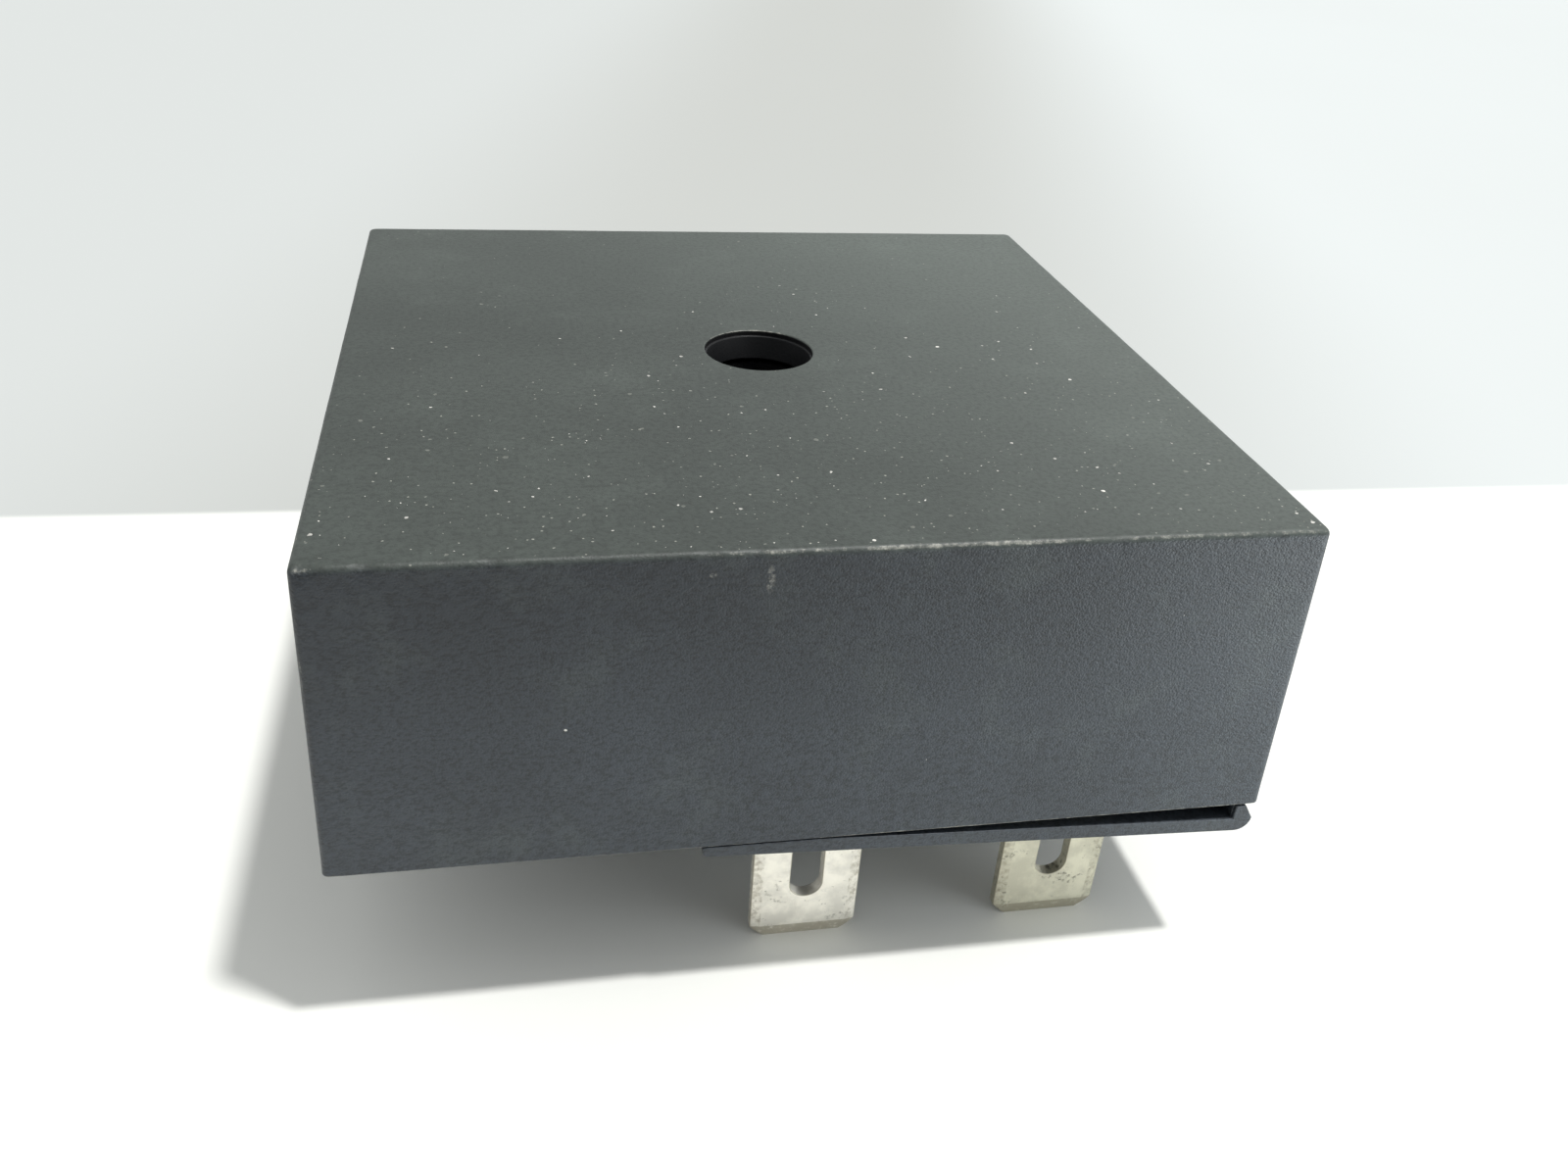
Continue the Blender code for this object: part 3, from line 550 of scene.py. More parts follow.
    def relief(self, recipe: Recipe, grain: Socket, on_top: Socket, inside: Socket) -> Socket:
        """The bumped normal: grain and pits, shallower on top and almost none in the hole.

        Args:
            recipe: the material to wire.
            grain: the coarse grain.
            on_top: 1 on the top face.
            inside: 1 in the screw hole.

        Returns:
            The normal.
        """
        pits = recipe.ramp(recipe.cells(self.grain * 0.62).outputs["Distance"], 0.1, 0.75)
        level = recipe.product(recipe.span(on_top, 1.0, 0.26), recipe.span(inside, 1.0, 0.1))
        height = recipe.total(recipe.product(grain, level), recipe.product(pits, level, 0.35))
        coarse = recipe.bump(height, self.grain_depth * 2)
        return recipe.bump(recipe.noise(0.12, 2, 0.6), self.grain_depth * 0.36, coarse)

    def paint(self, recipe: Recipe) -> bpy.types.Material:
        """Wires the grain, its colours with their painted shade and sheen, the rubbed and highlit edges and
        the dust.

        Args:
            recipe: the material to wire.

        Returns:
            The material.
        """
        on_top = recipe.ramp(recipe.z, self.top - 0.45, self.top - 0.08)
        inside = self.in_hole(recipe)
        mottle = recipe.noise(0.7, 3, 0.6)
        scuffed = recipe.product(self.marks(recipe), self.scuff_strength)
        pale = recipe.math(Sum.LARGER, self.chips_and_edge_highlight(recipe), scuffed)
        specked = recipe.mixed(pale, self.dusty(recipe, on_top, mottle), self.rubbed)
        for layer in self.speck_layers:
            specked = recipe.mixed(self.specks(recipe, layer), specked, self.dust)
        grain = recipe.noise(self.grain, 3, 0.6, recipe.stretched(0.7, 0.7, 1.25))
        # Painted shade in the grain's pits, stronger on the walls than on the top.
        painted_pit_shade = recipe.product(recipe.ramp(grain, 0.36, 0.56, 1.0, 0.0), recipe.span(on_top, 0.42, 0.24))
        # Painted shade: near black in the screw hole.
        colour = recipe.mixed(inside, recipe.mixed(painted_pit_shade, specked, BLACK), self.bare)
        rough = recipe.total(recipe.product(mottle, 0.16), self.roughness - 0.08)
        normal = self.relief(recipe, grain, on_top, inside)
        return recipe.finish(colour, rough, normal, specular_ior_level=0.5)


@dataclass(frozen=True)
class PlainMoulding(Finish):
    """Moulded plastic with faint flow marks, fine texture and softened, slightly paler edges."""

    texture: float = 0.25
    depth: float = 0.008
    gloss: float = 0.0

    def paint(self, recipe: Recipe) -> bpy.types.Material:
        """Wires the plastic's tone, edges and texture.

        Args:
            recipe: the material to wire.

        Returns:
            The material.
        """
        flow = recipe.noise(6.0, 3, 0.6, recipe.stretched(1.0, 1.0, 0.4))
        tone = recipe.mixed(recipe.ramp(flow, 0.3, 0.7), self.shade(0.86), self.shade(1.1))
        edge = recipe.product(recipe.ramp(recipe.total(recipe.wear(), recipe.noise(0.6, 3)), 1.1, 1.5), 0.6)
        colour = recipe.mixed(edge, tone, self.shade(1.7))
        smudge = recipe.ramp(recipe.noise(3.5, 4, 0.6), 0.35, 0.7, -0.06, 0.08)
        normal = recipe.bump(recipe.noise(self.texture, 3, 0.6), self.depth)
        levels = {"coat_weight": self.gloss, "coat_roughness": 0.12}
        return recipe.finish(colour, recipe.total(smudge, self.roughness), normal, **levels)


@dataclass(frozen=True)
class StampedMetal(Finish):
    """Rolled and stamped metal: draw lines, dull patches, tarnish specks and bare metal at worn edges."""

    tarnish: Colour = (0.16, 0.14, 0.11)
    bare: Colour = (0.62, 0.55, 0.38)
    speckle: float = 1.0
    metallic: float = 0.9
    grain_along: Point = (1.0, 1.0, 0.08)

    def paint(self, recipe: Recipe) -> bpy.types.Material:
        """Wires the plating, its tarnish and its draw lines.

        Args:
            recipe: the material to wire.

        Returns:
            The material.
        """
        patch = recipe.noise(1.9, 4, 0.65)
        tone = recipe.mixed(recipe.ramp(patch, 0.36, 0.66), self.shade(0.84), self.shade(1.08))
        fine = recipe.noise(0.26, 3, 0.65)
        crowd = recipe.noise(2.2, 3, 0.6)
        freckle = recipe.ramp(recipe.total(fine, crowd), 1.12, 1.36)
        specked = recipe.mixed(recipe.product(freckle, self.speckle), tone, self.tarnish)
        edge = recipe.ramp(recipe.total(recipe.wear(), recipe.noise(0.35, 3, 0.6)), 0.95, 1.35)
        colour = recipe.mixed(recipe.product(edge, 0.75), specked, self.bare)
        lines = recipe.noise(0.09, 2, 0.5, recipe.stretched(*self.grain_along))
        dull = recipe.total(recipe.product(patch, 0.2), recipe.product(freckle, 0.25), self.roughness - 0.1)
        dents = recipe.bump(recipe.noise(0.7, 3, 0.5), 0.012)
        normal = recipe.bump(recipe.total(lines, recipe.product(freckle, -0.8)), 0.004, dents)
        return recipe.finish(colour, dull, normal, metallic=self.metallic)


@dataclass(frozen=True)
class WovenLaminate(Finish):
    """Glass-epoxy board: the weave shows through the resin, and its edges are rough and paler."""

    weave: float = 0.55

    def paint(self, recipe: Recipe) -> bpy.types.Material:
        """Wires the weave and the sawn edges.

        Args:
            recipe: the material to wire.

        Returns:
            The material.
        """
        turn = 2 * math.pi / self.weave
        warp = recipe.math(Sum.SINE, recipe.product(recipe.x, turn))
        weft = recipe.math(Sum.SINE, recipe.product(recipe.y, turn))
        cloth = recipe.ramp(recipe.product(warp, weft), -0.6, 0.6)
        blotch = recipe.noise(4.0, 3)
        uneven = recipe.total(recipe.product(cloth, 0.35), recipe.product(blotch, 0.6))
        faces = recipe.mixed(uneven, self.shade(0.75), self.shade(1.15))
        colour = recipe.mixed(recipe.ramp(recipe.wear(), 0.4, 0.9), faces, self.shade(1.5))
        smooth, rough = self.roughness - 0.08, self.roughness + 0.1
        roughness = recipe.ramp(recipe.total(cloth, blotch), 0.4, 1.4, smooth, rough)
        return recipe.finish(colour, roughness, recipe.bump(cloth, 0.008), coat_weight=0.25)


@dataclass(frozen=True)
class CoatedBody(Finish):
    """A dipped or enamelled coat with orange peel, pinholes and a thin gloss."""

    peel: float = 0.8
    gloss: float = 0.35

    def paint(self, recipe: Recipe) -> bpy.types.Material:
        """Wires the coat.

        Args:
            recipe: the material to wire.

        Returns:
            The material.
        """
        cloud = recipe.noise(2.4, 3)
        tone = recipe.mixed(recipe.ramp(cloud, 0.3, 0.7), self.shade(0.8), self.shade(1.15))
        hole = recipe.ramp(recipe.cells(0.9).outputs["Distance"], 0.04, 0.09, 1.0, 0.0)
        colour = recipe.mixed(recipe.product(hole, 0.6), tone, self.shade(0.35))
        waves = recipe.total(recipe.noise(self.peel, 2), recipe.product(hole, -0.5))
        roughness = recipe.ramp(cloud, 0.2, 0.8, self.roughness - 0.07, self.roughness + 0.09)
        levels = {"coat_weight": self.gloss, "coat_roughness": 0.15}
        return recipe.finish(colour, roughness, recipe.bump(waves, 0.02), **levels)


@dataclass(frozen=True)
class SettledDust(Finish):
    """Pale, dry flecks of grit."""

    def paint(self, recipe: Recipe) -> bpy.types.Material:
        """Wires the flecks' uneven tone and crumbly face.

        Args:
            recipe: the material to wire.

        Returns:
            The material.
        """
        tone = recipe.mixed(recipe.ramp(recipe.noise(1.3, 2), 0.35, 0.65), self.shade(0.6), self.colour)
        crumb = recipe.noise(0.05, 2)
        roughness = recipe.span(crumb, self.roughness - 0.1, self.roughness)
        return recipe.finish(tone, roughness, recipe.bump(crumb, 0.01))


SLATE = GrainedMoulding("slate_moulding", (0.058, 0.069, 0.06), 0.5)
SLEEVE = PlainMoulding("sleeve_plastic", (0.006, 0.006, 0.007), 0.45)
NYLON = PlainMoulding("relay_nylon", (0.6, 0.55, 0.42), 0.42, gloss=0.15)
DUST_COVER = PlainMoulding("relay_dust_cover", (0.05, 0.14, 0.32), 0.28, texture=0.6, depth=0.004, gloss=0.3)
# The blades' bare colour paints both their worn coined border and the painted shade on the tip bevel.
TIN = StampedMetal(
    "tinned_brass",
    (0.9, 0.865, 0.78),
    0.46,
    tarnish=(0.3, 0.28, 0.23),
    bare=(0.36, 0.32, 0.24),
    speckle=0.75,
    metallic=0.6,
)
DULL_TIN = StampedMetal(
    "dull_tinned_brass",
    (0.6, 0.575, 0.46),
    0.5,
    tarnish=(0.22, 0.21, 0.17),
    bare=(0.32, 0.29, 0.22),
    metallic=0.6,
)
LEAD_TIN = StampedMetal("tinned_lead", (0.74, 0.73, 0.69), 0.34, speckle=0.5)
IRON = StampedMetal("plated_iron", (0.5, 0.49, 0.45), 0.38, speckle=0.4, bare=(0.34, 0.31, 0.28))
BRONZE = StampedMetal("spring_bronze", (0.66, 0.4, 0.19), 0.3, speckle=0.6, bare=(0.8, 0.55, 0.3))
SILVER = StampedMetal("contact_silver", (0.78, 0.77, 0.73), 0.28, speckle=0.8, bare=(0.86, 0.85, 0.82))
COPPER = CoatedBody("enamelled_copper", (0.5, 0.16, 0.05), 0.3, peel=0.3, gloss=0.6)
BOARD = WovenLaminate("board_laminate", (0.3, 0.34, 0.12), 0.42)
SOLDER = StampedMetal("solder", (0.66, 0.66, 0.64), 0.3, speckle=0.7, bare=(0.7, 0.7, 0.68))
TRACK = PlainMoulding("masked_track", (0.11, 0.2, 0.06), 0.35, gloss=0.3)
DIODE = PlainMoulding("diode_epoxy", (0.02, 0.02, 0.021), 0.45, depth=0.012)
CAN = PlainMoulding("can_sleeve", (0.03, 0.04, 0.07), 0.25, texture=1.4, depth=0.012, gloss=0.4)
YELLOW_CASE = PlainMoulding("capacitor_case", (0.62, 0.4, 0.06), 0.35, gloss=0.25)
ENAMEL = CoatedBody("resistor_enamel", (0.25, 0.42, 0.5), 0.45)
VARISTOR = CoatedBody("varistor_coat", (0.1, 0.22, 0.5), 0.3, peel=1.2)
BAND = CoatedBody("pale_band", (0.62, 0.62, 0.6), 0.4, gloss=0.1)
BROWN_BAND = CoatedBody("brown_band", (0.14, 0.05, 0.02), 0.4, gloss=0.1)
GOLD_BAND = CoatedBody("gold_band", (0.5, 0.33, 0.08), 0.35, gloss=0.4)
DUST = SettledDust("settled_dust", (0.8, 0.78, 0.72), 0.95)


@dataclass(frozen=True)
class Extent:
    """A node's box in millimetres."""

    low: Vector
    high: Vector

    @classmethod
    def of(cls, node: str) -> "Extent":
        """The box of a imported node.

        Args:
            node: its name.

        Returns:
            Its box.
        """
        low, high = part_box(node)
        return cls(low / MM, high / MM)

    @property
    def middle(self) -> Vector:
        """Its middle."""
        return (self.low + self.high) / 2

    @property
    def size(self) -> Vector:
        """Its sides."""
        return self.high - self.low


def body_of(node: str) -> str:
    """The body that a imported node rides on."""
    return frame["nodes"][node]["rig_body"]


def between(start: float, end: float, share: float) -> float:
    """The value that share of the way from start to end."""
    return start + (end - start) * share


def ripple(place: Point, size: float, seed: float = 0.0) -> float:
    """Smooth noise from -1 to 1, with features of a size, at a place."""
    return noise.noise(Vector(place) / size + Vector((seed, -seed, seed * 0.5)))


def filleted(corners: Sequence[Point], steps: int, hold: float, pitch: float) -> list[Flat]:
    """A closed outline whose corners are rounded and whose runs are divided.

    Args:
        corners: u, v and radius of each corner.
        steps: how many pieces each arc has.
        hold: how far past an arc's end the first point of a run lies.
        pitch: the most that lies between two points of a run.

    Returns:
        The outline's points.
    """
    arcs = []
    for i, (u, v, radius) in enumerate(corners):
        corner = Vector((u, v))
        back = (Vector(corners[i - 1][:2]) - corner).normalized()
        ahead = (Vector(corners[(i + 1) % len(corners)][:2]) - corner).normalized()
        half = back.angle(ahead) / 2
        centre = corner + (back + ahead).normalized() * (radius / math.sin(half))
        spoke = corner + back * (radius / math.tan(half)) - centre
        turn = math.copysign(math.pi - 2 * half, back.x * ahead.y - back.y * ahead.x)
        angles = [-turn * k / steps for k in range(steps + 1)] if radius else [0]
        arcs.append([centre + Matrix.Rotation(a, 2) @ spoke for a in angles])
    points: list[Flat] = []
    for arc, following in zip(arcs, arcs[1:] + arcs[:1]):
        points += [tuple(p) for p in arc]
        run = following[0] - arc[-1]
        length = run.length
        if length < 3 * hold:
            continue
        inner = max(1, math.ceil((length - 2 * hold) / pitch))
        marks = [hold + (length - 2 * hold) * k / inner for k in range(inner + 1)]
        points += [tuple(arc[-1] + run * (mark / length)) for mark in marks]
    return points


def circle(radius: float, count: int, centre: Flat = (0.0, 0.0)) -> list[Flat]:
    """Points round a circle.

    Args:
        radius: its radius.
        count: how many points.
        centre: its middle.

    Returns:
        The points.
    """
    turns = [2 * math.pi * i / count for i in range(count)]
    return [(centre[0] + radius * math.cos(t), centre[1] + radius * math.sin(t)) for t in turns]


def quarter(centre: Flat, radius: float, start: float, steps: int) -> list[Flat]:
    """The points of a quarter turn from a start in degrees, with both ends."""
    turns = [math.radians(start + 90 * i / steps) for i in range(steps + 1)]
    return [(centre[0] + radius * math.cos(t), centre[1] + radius * math.sin(t)) for t in turns]


def placed(name: str, data: bpy.types.ID) -> bpy.types.Object:
    """A new object in the scene that holds some data.

    Args:
        name: what it is called.
        data: its mesh, lamp or camera.

    Returns:
        The object.
    """
    made = bpy.data.objects.new(name, data)
    bpy.context.scene.collection.objects.link(made)
    return made


def moved(place: Point, by: Point) -> Point:
    """A place moved by an offset."""
    return tuple(p + b for p, b in zip(place, by))


class Shape:
    """Closed shells gathered in millimetres, which become one piece."""

    def __init__(self) -> None:
        """Starts with nothing."""
        self.mesh = bmesh.new()

    def loft(self, rings: Sequence[Sequence[Point]], looped: bool = False) -> list[bmesh.types.BMVert]:
        """Adds a shell that runs through rings of equal count.

        Args:
            rings: the rings in order.
            looped: whether the last joins the first, instead of both being capped.

        Returns:
            Its points.
        """
        rows = [[self.mesh.verts.new(p) for p in ring] for ring in rings]
        count = len(rows[0])
        faces = []
        for row, following in zip(rows, rows[1:] + (rows[:1] if looped else [])):
            for i in range(count):
                j = (i + 1) % count
                faces.append(self.mesh.faces.new((row[i], row[j], following[j], following[i])))
        if not looped:
            faces += [self.mesh.faces.new(rows[0]), self.mesh.faces.new(rows[-1])]
        bmesh.ops.recalc_face_normals(self.mesh, faces=faces)
        return [vert for row in rows for vert in row]

    def turned(self, profile: Sequence[Flat], middle: Point, axis: Axis, count: int) -> None:
        """Adds a closed profile turned about an axis.

        Args:
            profile: radius and place along the axis of each point, the latter from the middle.
            middle: a point on the axis.
            axis: the axis.
            count: how many sides.
        """
        rings = []
        for radius, along in profile:
            rings.append([moved(middle, axis.point(along, u, v)) for u, v in circle(radius, count)])
        self.loft(rings, looped=True)

    def prism(self, outline: Sequence[Flat], axis: Axis, start: float, end: float) -> None:
        """Adds an outline carried along an axis.

        Args:
            outline: the two other coordinates of its points, in X, Y, Z order.
            axis: the axis.
            start: where it starts.
            end: where it ends.
        """
        self.loft([[axis.point(along, u, v) for u, v in outline] for along in (start, end)])

    def block(self, low: Iterable[float], high: Iterable[float]) -> None:
        """Adds a box between two corners, which soften() then rounds."""
        (x0, y0, z0), (x1, y1, z1) = low, high
        self.prism([(x0, y0), (x1, y0), (x1, y1), (x0, y1)], Axis.Z, z0, z1)

    def copy(self, node: str) -> None:
        """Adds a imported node's own shells, with their points welded and their flat faces joined.

        Args:
            node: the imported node.
        """
        packed, mesh = frame["nodes"][node].data, self.mesh
        verts = [mesh.verts.new(vert.co / MM) for vert in packed.vertices]
        for polygon in packed.polygons:
            mesh.faces.new([verts[i] for i in polygon.vertices])
        bmesh.ops.remove_doubles(mesh, verts=mesh.verts[:], dist=WELD)
        bmesh.ops.dissolve_limit(mesh, angle_limit=FLAT_WITHIN, verts=mesh.verts[:], edges=mesh.edges[:])

    def worn(self) -> bmesh.types.BMLayerItem:
        """The layer that holds how far each face is worn."""
        layers = self.mesh.faces.layers.float
        return layers.get("wear") or layers.new("wear")

    def soften(self, width: float, steps: int = 2, wear: float = 1.0) -> None:
        """Rounds every sharp edge and marks it as worn.

        Args:
            width: how far the rounding reaches.
            steps: how many faces it has.
            wear: how far the rounding is worn.
        """
        layer = self.worn()
        sharp = [e for e in self.mesh.edges if e.is_manifold and e.calc_face_angle() > SHARP_FROM]
        made = bmesh.ops.bevel(
            self.mesh,
            geom=sharp,
            offset=width,
            segments=steps,
            profile=0.5,
            affect="EDGES",
            clamp_overlap=True,
        )
        for face in made["faces"]:
            face[layer] = wear

    def piece(
        self, name: str, finish: Finish, node: str, stands_for: bool = True, slot: str = ""
    ) -> None:
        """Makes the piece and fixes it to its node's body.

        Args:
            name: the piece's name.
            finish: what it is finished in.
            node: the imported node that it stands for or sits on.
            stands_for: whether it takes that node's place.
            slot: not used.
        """
        bmesh.ops.scale(self.mesh, vec=(MM,) * 3, verts=self.mesh.verts)
        mesh = bpy.data.meshes.new(name)
        self.mesh.to_mesh(mesh)
        self.mesh.free()
        mesh.materials.append(finish.material())
        mesh.shade_smooth()
        made = placed(name, mesh)
        weighted = made.modifiers.new("face_weighted_normals", "WEIGHTED_NORMAL")
        weighted.keep_sharp = True
        mesh.set_sharp_from_angle(angle=CREASE_FROM)
        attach(made, body_of(node))
        if stands_for:
            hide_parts(node)
        log.info("%s: %d points, on %s", name, len(mesh.vertices), body_of(node))


@dataclass(frozen=True)
class Nick:
    """A small chip out of the housing's front top edge."""

    x: float
    reach: float
    depth: float


@dataclass
class HousingShell:
    """The drafted housing: one skin from the rim up, over the top, down the screw hole and back inside."""

    wall: float = 1.6
    top_thickness: float = 1.8
    draft: float = math.radians(1.2)
    edge: float = 0.36
    mouth: float = 3.35
    mouth_depth: float = 0.38
    mouth_step: float = 0.1
    bore: float = 2.95
    boss_bore: float = 4.45
    boss_radius: float = 5.3
    boss_depth: float = 1.6
    post: float = 3.6
    post_end: float = 14.1
    round_within: float = 6.0
    square_beyond: float = 22.0
    per_side: int = 132
    per_corner: int = 6
    pitch: float = 0.8
    wear_reach: float = 0.25
    # How much sooner wear fades on the other edges than on the front top edge; the last pair is for the
    # painted highlight on the screw hole's rim, at its back and round the rest.
    fade_back: float = 1.7
    fade_side: float = 1.5
    fade_other: float = 1.6
    rim_highlight_fade: Flat = (2.4, 12.0)
    # Depth, breadth and seed of each layer of unevenness: drawn-in faces, then the knocked edge.
    sinks: tuple[Point, ...] = ((0.012, 7.0, 0.0), (0.006, 1.6, 3.0))
    knocks: tuple[Point, ...] = ((0.03, 0.9, 8.0), (0.02, 0.35, 5.0))
    rim_rise: float = 0.5
    top_sink: float = 0.6
    sink_start: float = 0.5
    sink_over: float = 0.4
    edge_band: float = 0.9
    nick_fade: float = 0.45
    nick_way: Point = (0.0, 0.7, -0.7)
    post_softness: float = 0.25
    nicks: tuple[Nick, ...] = (
        Nick(-24.5, 0.5, 0.22),
        Nick(-21.8, 0.3, 0.16),
        Nick(-16.4, 0.25, 0.1),
        Nick(-6.7, 0.3, 0.1),
        Nick(-4.3, 0.3, 0.12),
        Nick(9.3, 0.5, 0.08),
        Nick(13.6, 0.35, 0.1),
        Nick(22.1, 0.6, 0.07),
    )
    box: Extent = field(default_factory=lambda: Extent.of("housing"))

    def half_at(self, height: float, half: float) -> float:
        """Half the width at a height, from half the width at the rim."""
        return half - (height - self.box.low.z) * math.tan(self.draft)

    def profile(self) -> list[Flat]:
        """The skin's section, as half width or radius against height."""
        rim, top = self.box.low.z, self.box.high.z
        outer, inner = self.box.high.x, self.box.high.x - self.wall
        ceiling = top - self.top_thickness
        corners = [
            (inner, rim, 0.08),
            (outer, rim, 0.14),
            (self.half_at(top, outer), top, self.edge),
            (self.mouth, top, 0.11),
            (self.mouth, top - self.mouth_depth, 0.03),
            (self.mouth - self.mouth_step, top - self.mouth_depth, 0.04),
            (self.bore, ceiling, 0.06),
            (self.boss_bore, ceiling, 0.06),
            (self.boss_bore, ceiling - self.boss_depth, 0.08),
            (self.boss_radius, ceiling - self.boss_depth, 0.08),
            (self.boss_radius, ceiling, 0.1),
            (self.half_at(ceiling, inner), ceiling, 0.3),
        ]
        return filleted(corners, 5, 0.06, self.pitch)

    def ring(self, size: float, height: float) -> list[Point]:
        """One ring of the skin: square at the walls, round at the hole, and in between a mix of both.

        Args:
            size: half its width, or its radius.
            height: how high it lies.

        Returns:
            Its points.
        """
        roundness = (self.square_beyond - size) / (self.square_beyond - self.round_within)
        roundness = min(1.0, max(0.0, roundness))
        straight = size - self.edge
        side = [(between(-straight, straight, i / self.per_side), -size) for i in range(self.per_side)]
        side += quarter((straight, -straight), self.edge, -90, self.per_corner)[:-1]
        points = []
        for turn in range(4):
            for u, v in side:
                for _ in range(turn):
                    u, v = -v, u
                scale = between(1.0, size / math.hypot(u, v), roundness)
                points.append((u * scale, v * scale, height))
        return points

    def edge_nearness(self, place: Vector) -> float:
        """How pale a point is: 1 on the front top edge, which is partly worn and partly a painted highlight,
        with the other edges' wear fading sooner and a painted highlight on the screw hole's back rim.

        Args:
            place: the point.

        Returns:
            Its wear and painted highlight, from 0 to 1.
        """
        base, top = self.box.low.z, self.box.high.z
        half = self.half_at(place.z, self.box.high.x)
        to_top = top - place.z
        to_side = half - abs(place.x)
        to_front, to_back = half + place.y, half - place.y
        top_back = math.hypot(to_top, to_back) * self.fade_back
        top_side = math.hypot(to_top, to_side) * self.fade_side
        top_edge = min(math.hypot(to_top, to_front), top_back, top_side)
        upright = math.hypot(to_side, min(to_front, to_back)) * self.fade_other
        lower = math.hypot(place.z - base, min(to_front, to_back, to_side)) * self.fade_other
        # Painted highlight on the back of the screw hole's rim, fading much sooner round the rest of it.
        off_rim = math.hypot(to_top, math.hypot(place.x, place.y) - self.mouth)
        behind = place.y > 0.5 + abs(place.x + 0.8) * 0.7
        rim = off_rim * (self.rim_highlight_fade[0] if behind else self.rim_highlight_fade[1])
        return math.exp(-((min(top_edge, upright, lower, rim) / self.wear_reach) ** 2))

    def rub(self, shape: Shape, verts: list[bmesh.types.BMVert]) -> None:
        """Sinks the outer faces a little where the moulding drew in, and nicks the front top edge.

        Args:
            shape: the shape that holds the skin.
            verts: the skin's points.
        """
        rim, top = self.box.low.z, self.box.high.z
        wear = shape.mesh.verts.layers.float["wear"]
        for vert in verts:
            place = vert.co.copy()
            outer = self.half_at(place.z, self.box.high.x)
            on_wall = max(abs(place.x), abs(place.y)) > outer - self.wall * 0.6
            if not on_wall and place.z < top - 0.2:
                continue
            # Wear, which here also carries the painted highlights on the front top edge and the screw hole's
            # back rim.
            vert[wear] = self.edge_nearness(place)
            inward = Vector()
            for axis in (Axis.X.value, Axis.Y.value):
                if abs(place[axis]) > outer - self.wall / 2:
                    inward[axis] = -place[axis]
            inward.normalize()
            depth = sum(deep * (1 + ripple(place, size, seed)) for deep, size, seed in self.sinks)
            share = min(1.0, max(0.0, (place.z - top + self.sink_start) / self.sink_over))
            down = Vector((0, 0, -1)) * share * self.top_sink
            vert.co += (inward * min(1.0, (place.z - rim) / self.rim_rise) + down) * depth
            if place.y < -outer + self.edge_band and place.z > top - self.edge_band:
                vert.co += self.nick_at(place)

    def nick_at(self, place: Vector) -> Vector:
        """How far the front top edge is knocked back at a point.

        Args:
            place: the point.

        Returns:
            Its move.
        """
        top = self.box.high.z
        front = -self.half_at(top, self.box.high.x)
        off_edge = math.hypot(top - place.z, place.y - front)
        fade = math.exp(-((off_edge / self.nick_fade) ** 2))
        depth = sum(deep * max(0.0, ripple(place, size, seed)) for deep, size, seed in self.knocks)
        depth += sum(n.depth * math.exp(-(((place.x - n.x) / n.reach) ** 2)) for n in self.nicks)
        return Vector(self.nick_way) * depth * fade

    def build(self) -> None:
        """Makes the housing with its four corner posts."""
        shape = Shape()
        shape.mesh.verts.layers.float.new("wear")
        skin = shape.loft([self.ring(size, height) for size, height in self.profile()], looped=True)
        self.rub(shape, skin)
        posts = Shape()
        ceiling = self.box.high.z - self.top_thickness
        outside = self.half_at(ceiling, self.box.high.x - self.wall) + self.wall / 2
        inside = outside - self.post
        for sx in (-1, 1):
            for sy in (-1, 1):
                across = sorted((sx * inside, sx * outside)), sorted((sy * inside, sy * outside))
                low = (across[0][0], across[1][0], self.post_end)
                high = (across[0][1], across[1][1], ceiling + self.top_thickness / 4)
                posts.block(low, high)
        posts.soften(self.post_softness, 3, wear=0.0)
        posts.piece("board_posts", SLATE, "housing", stands_for=False, slot="slate_moulding")
        shape.piece("housing_shell", SLATE, "housing", slot="slate_moulding")


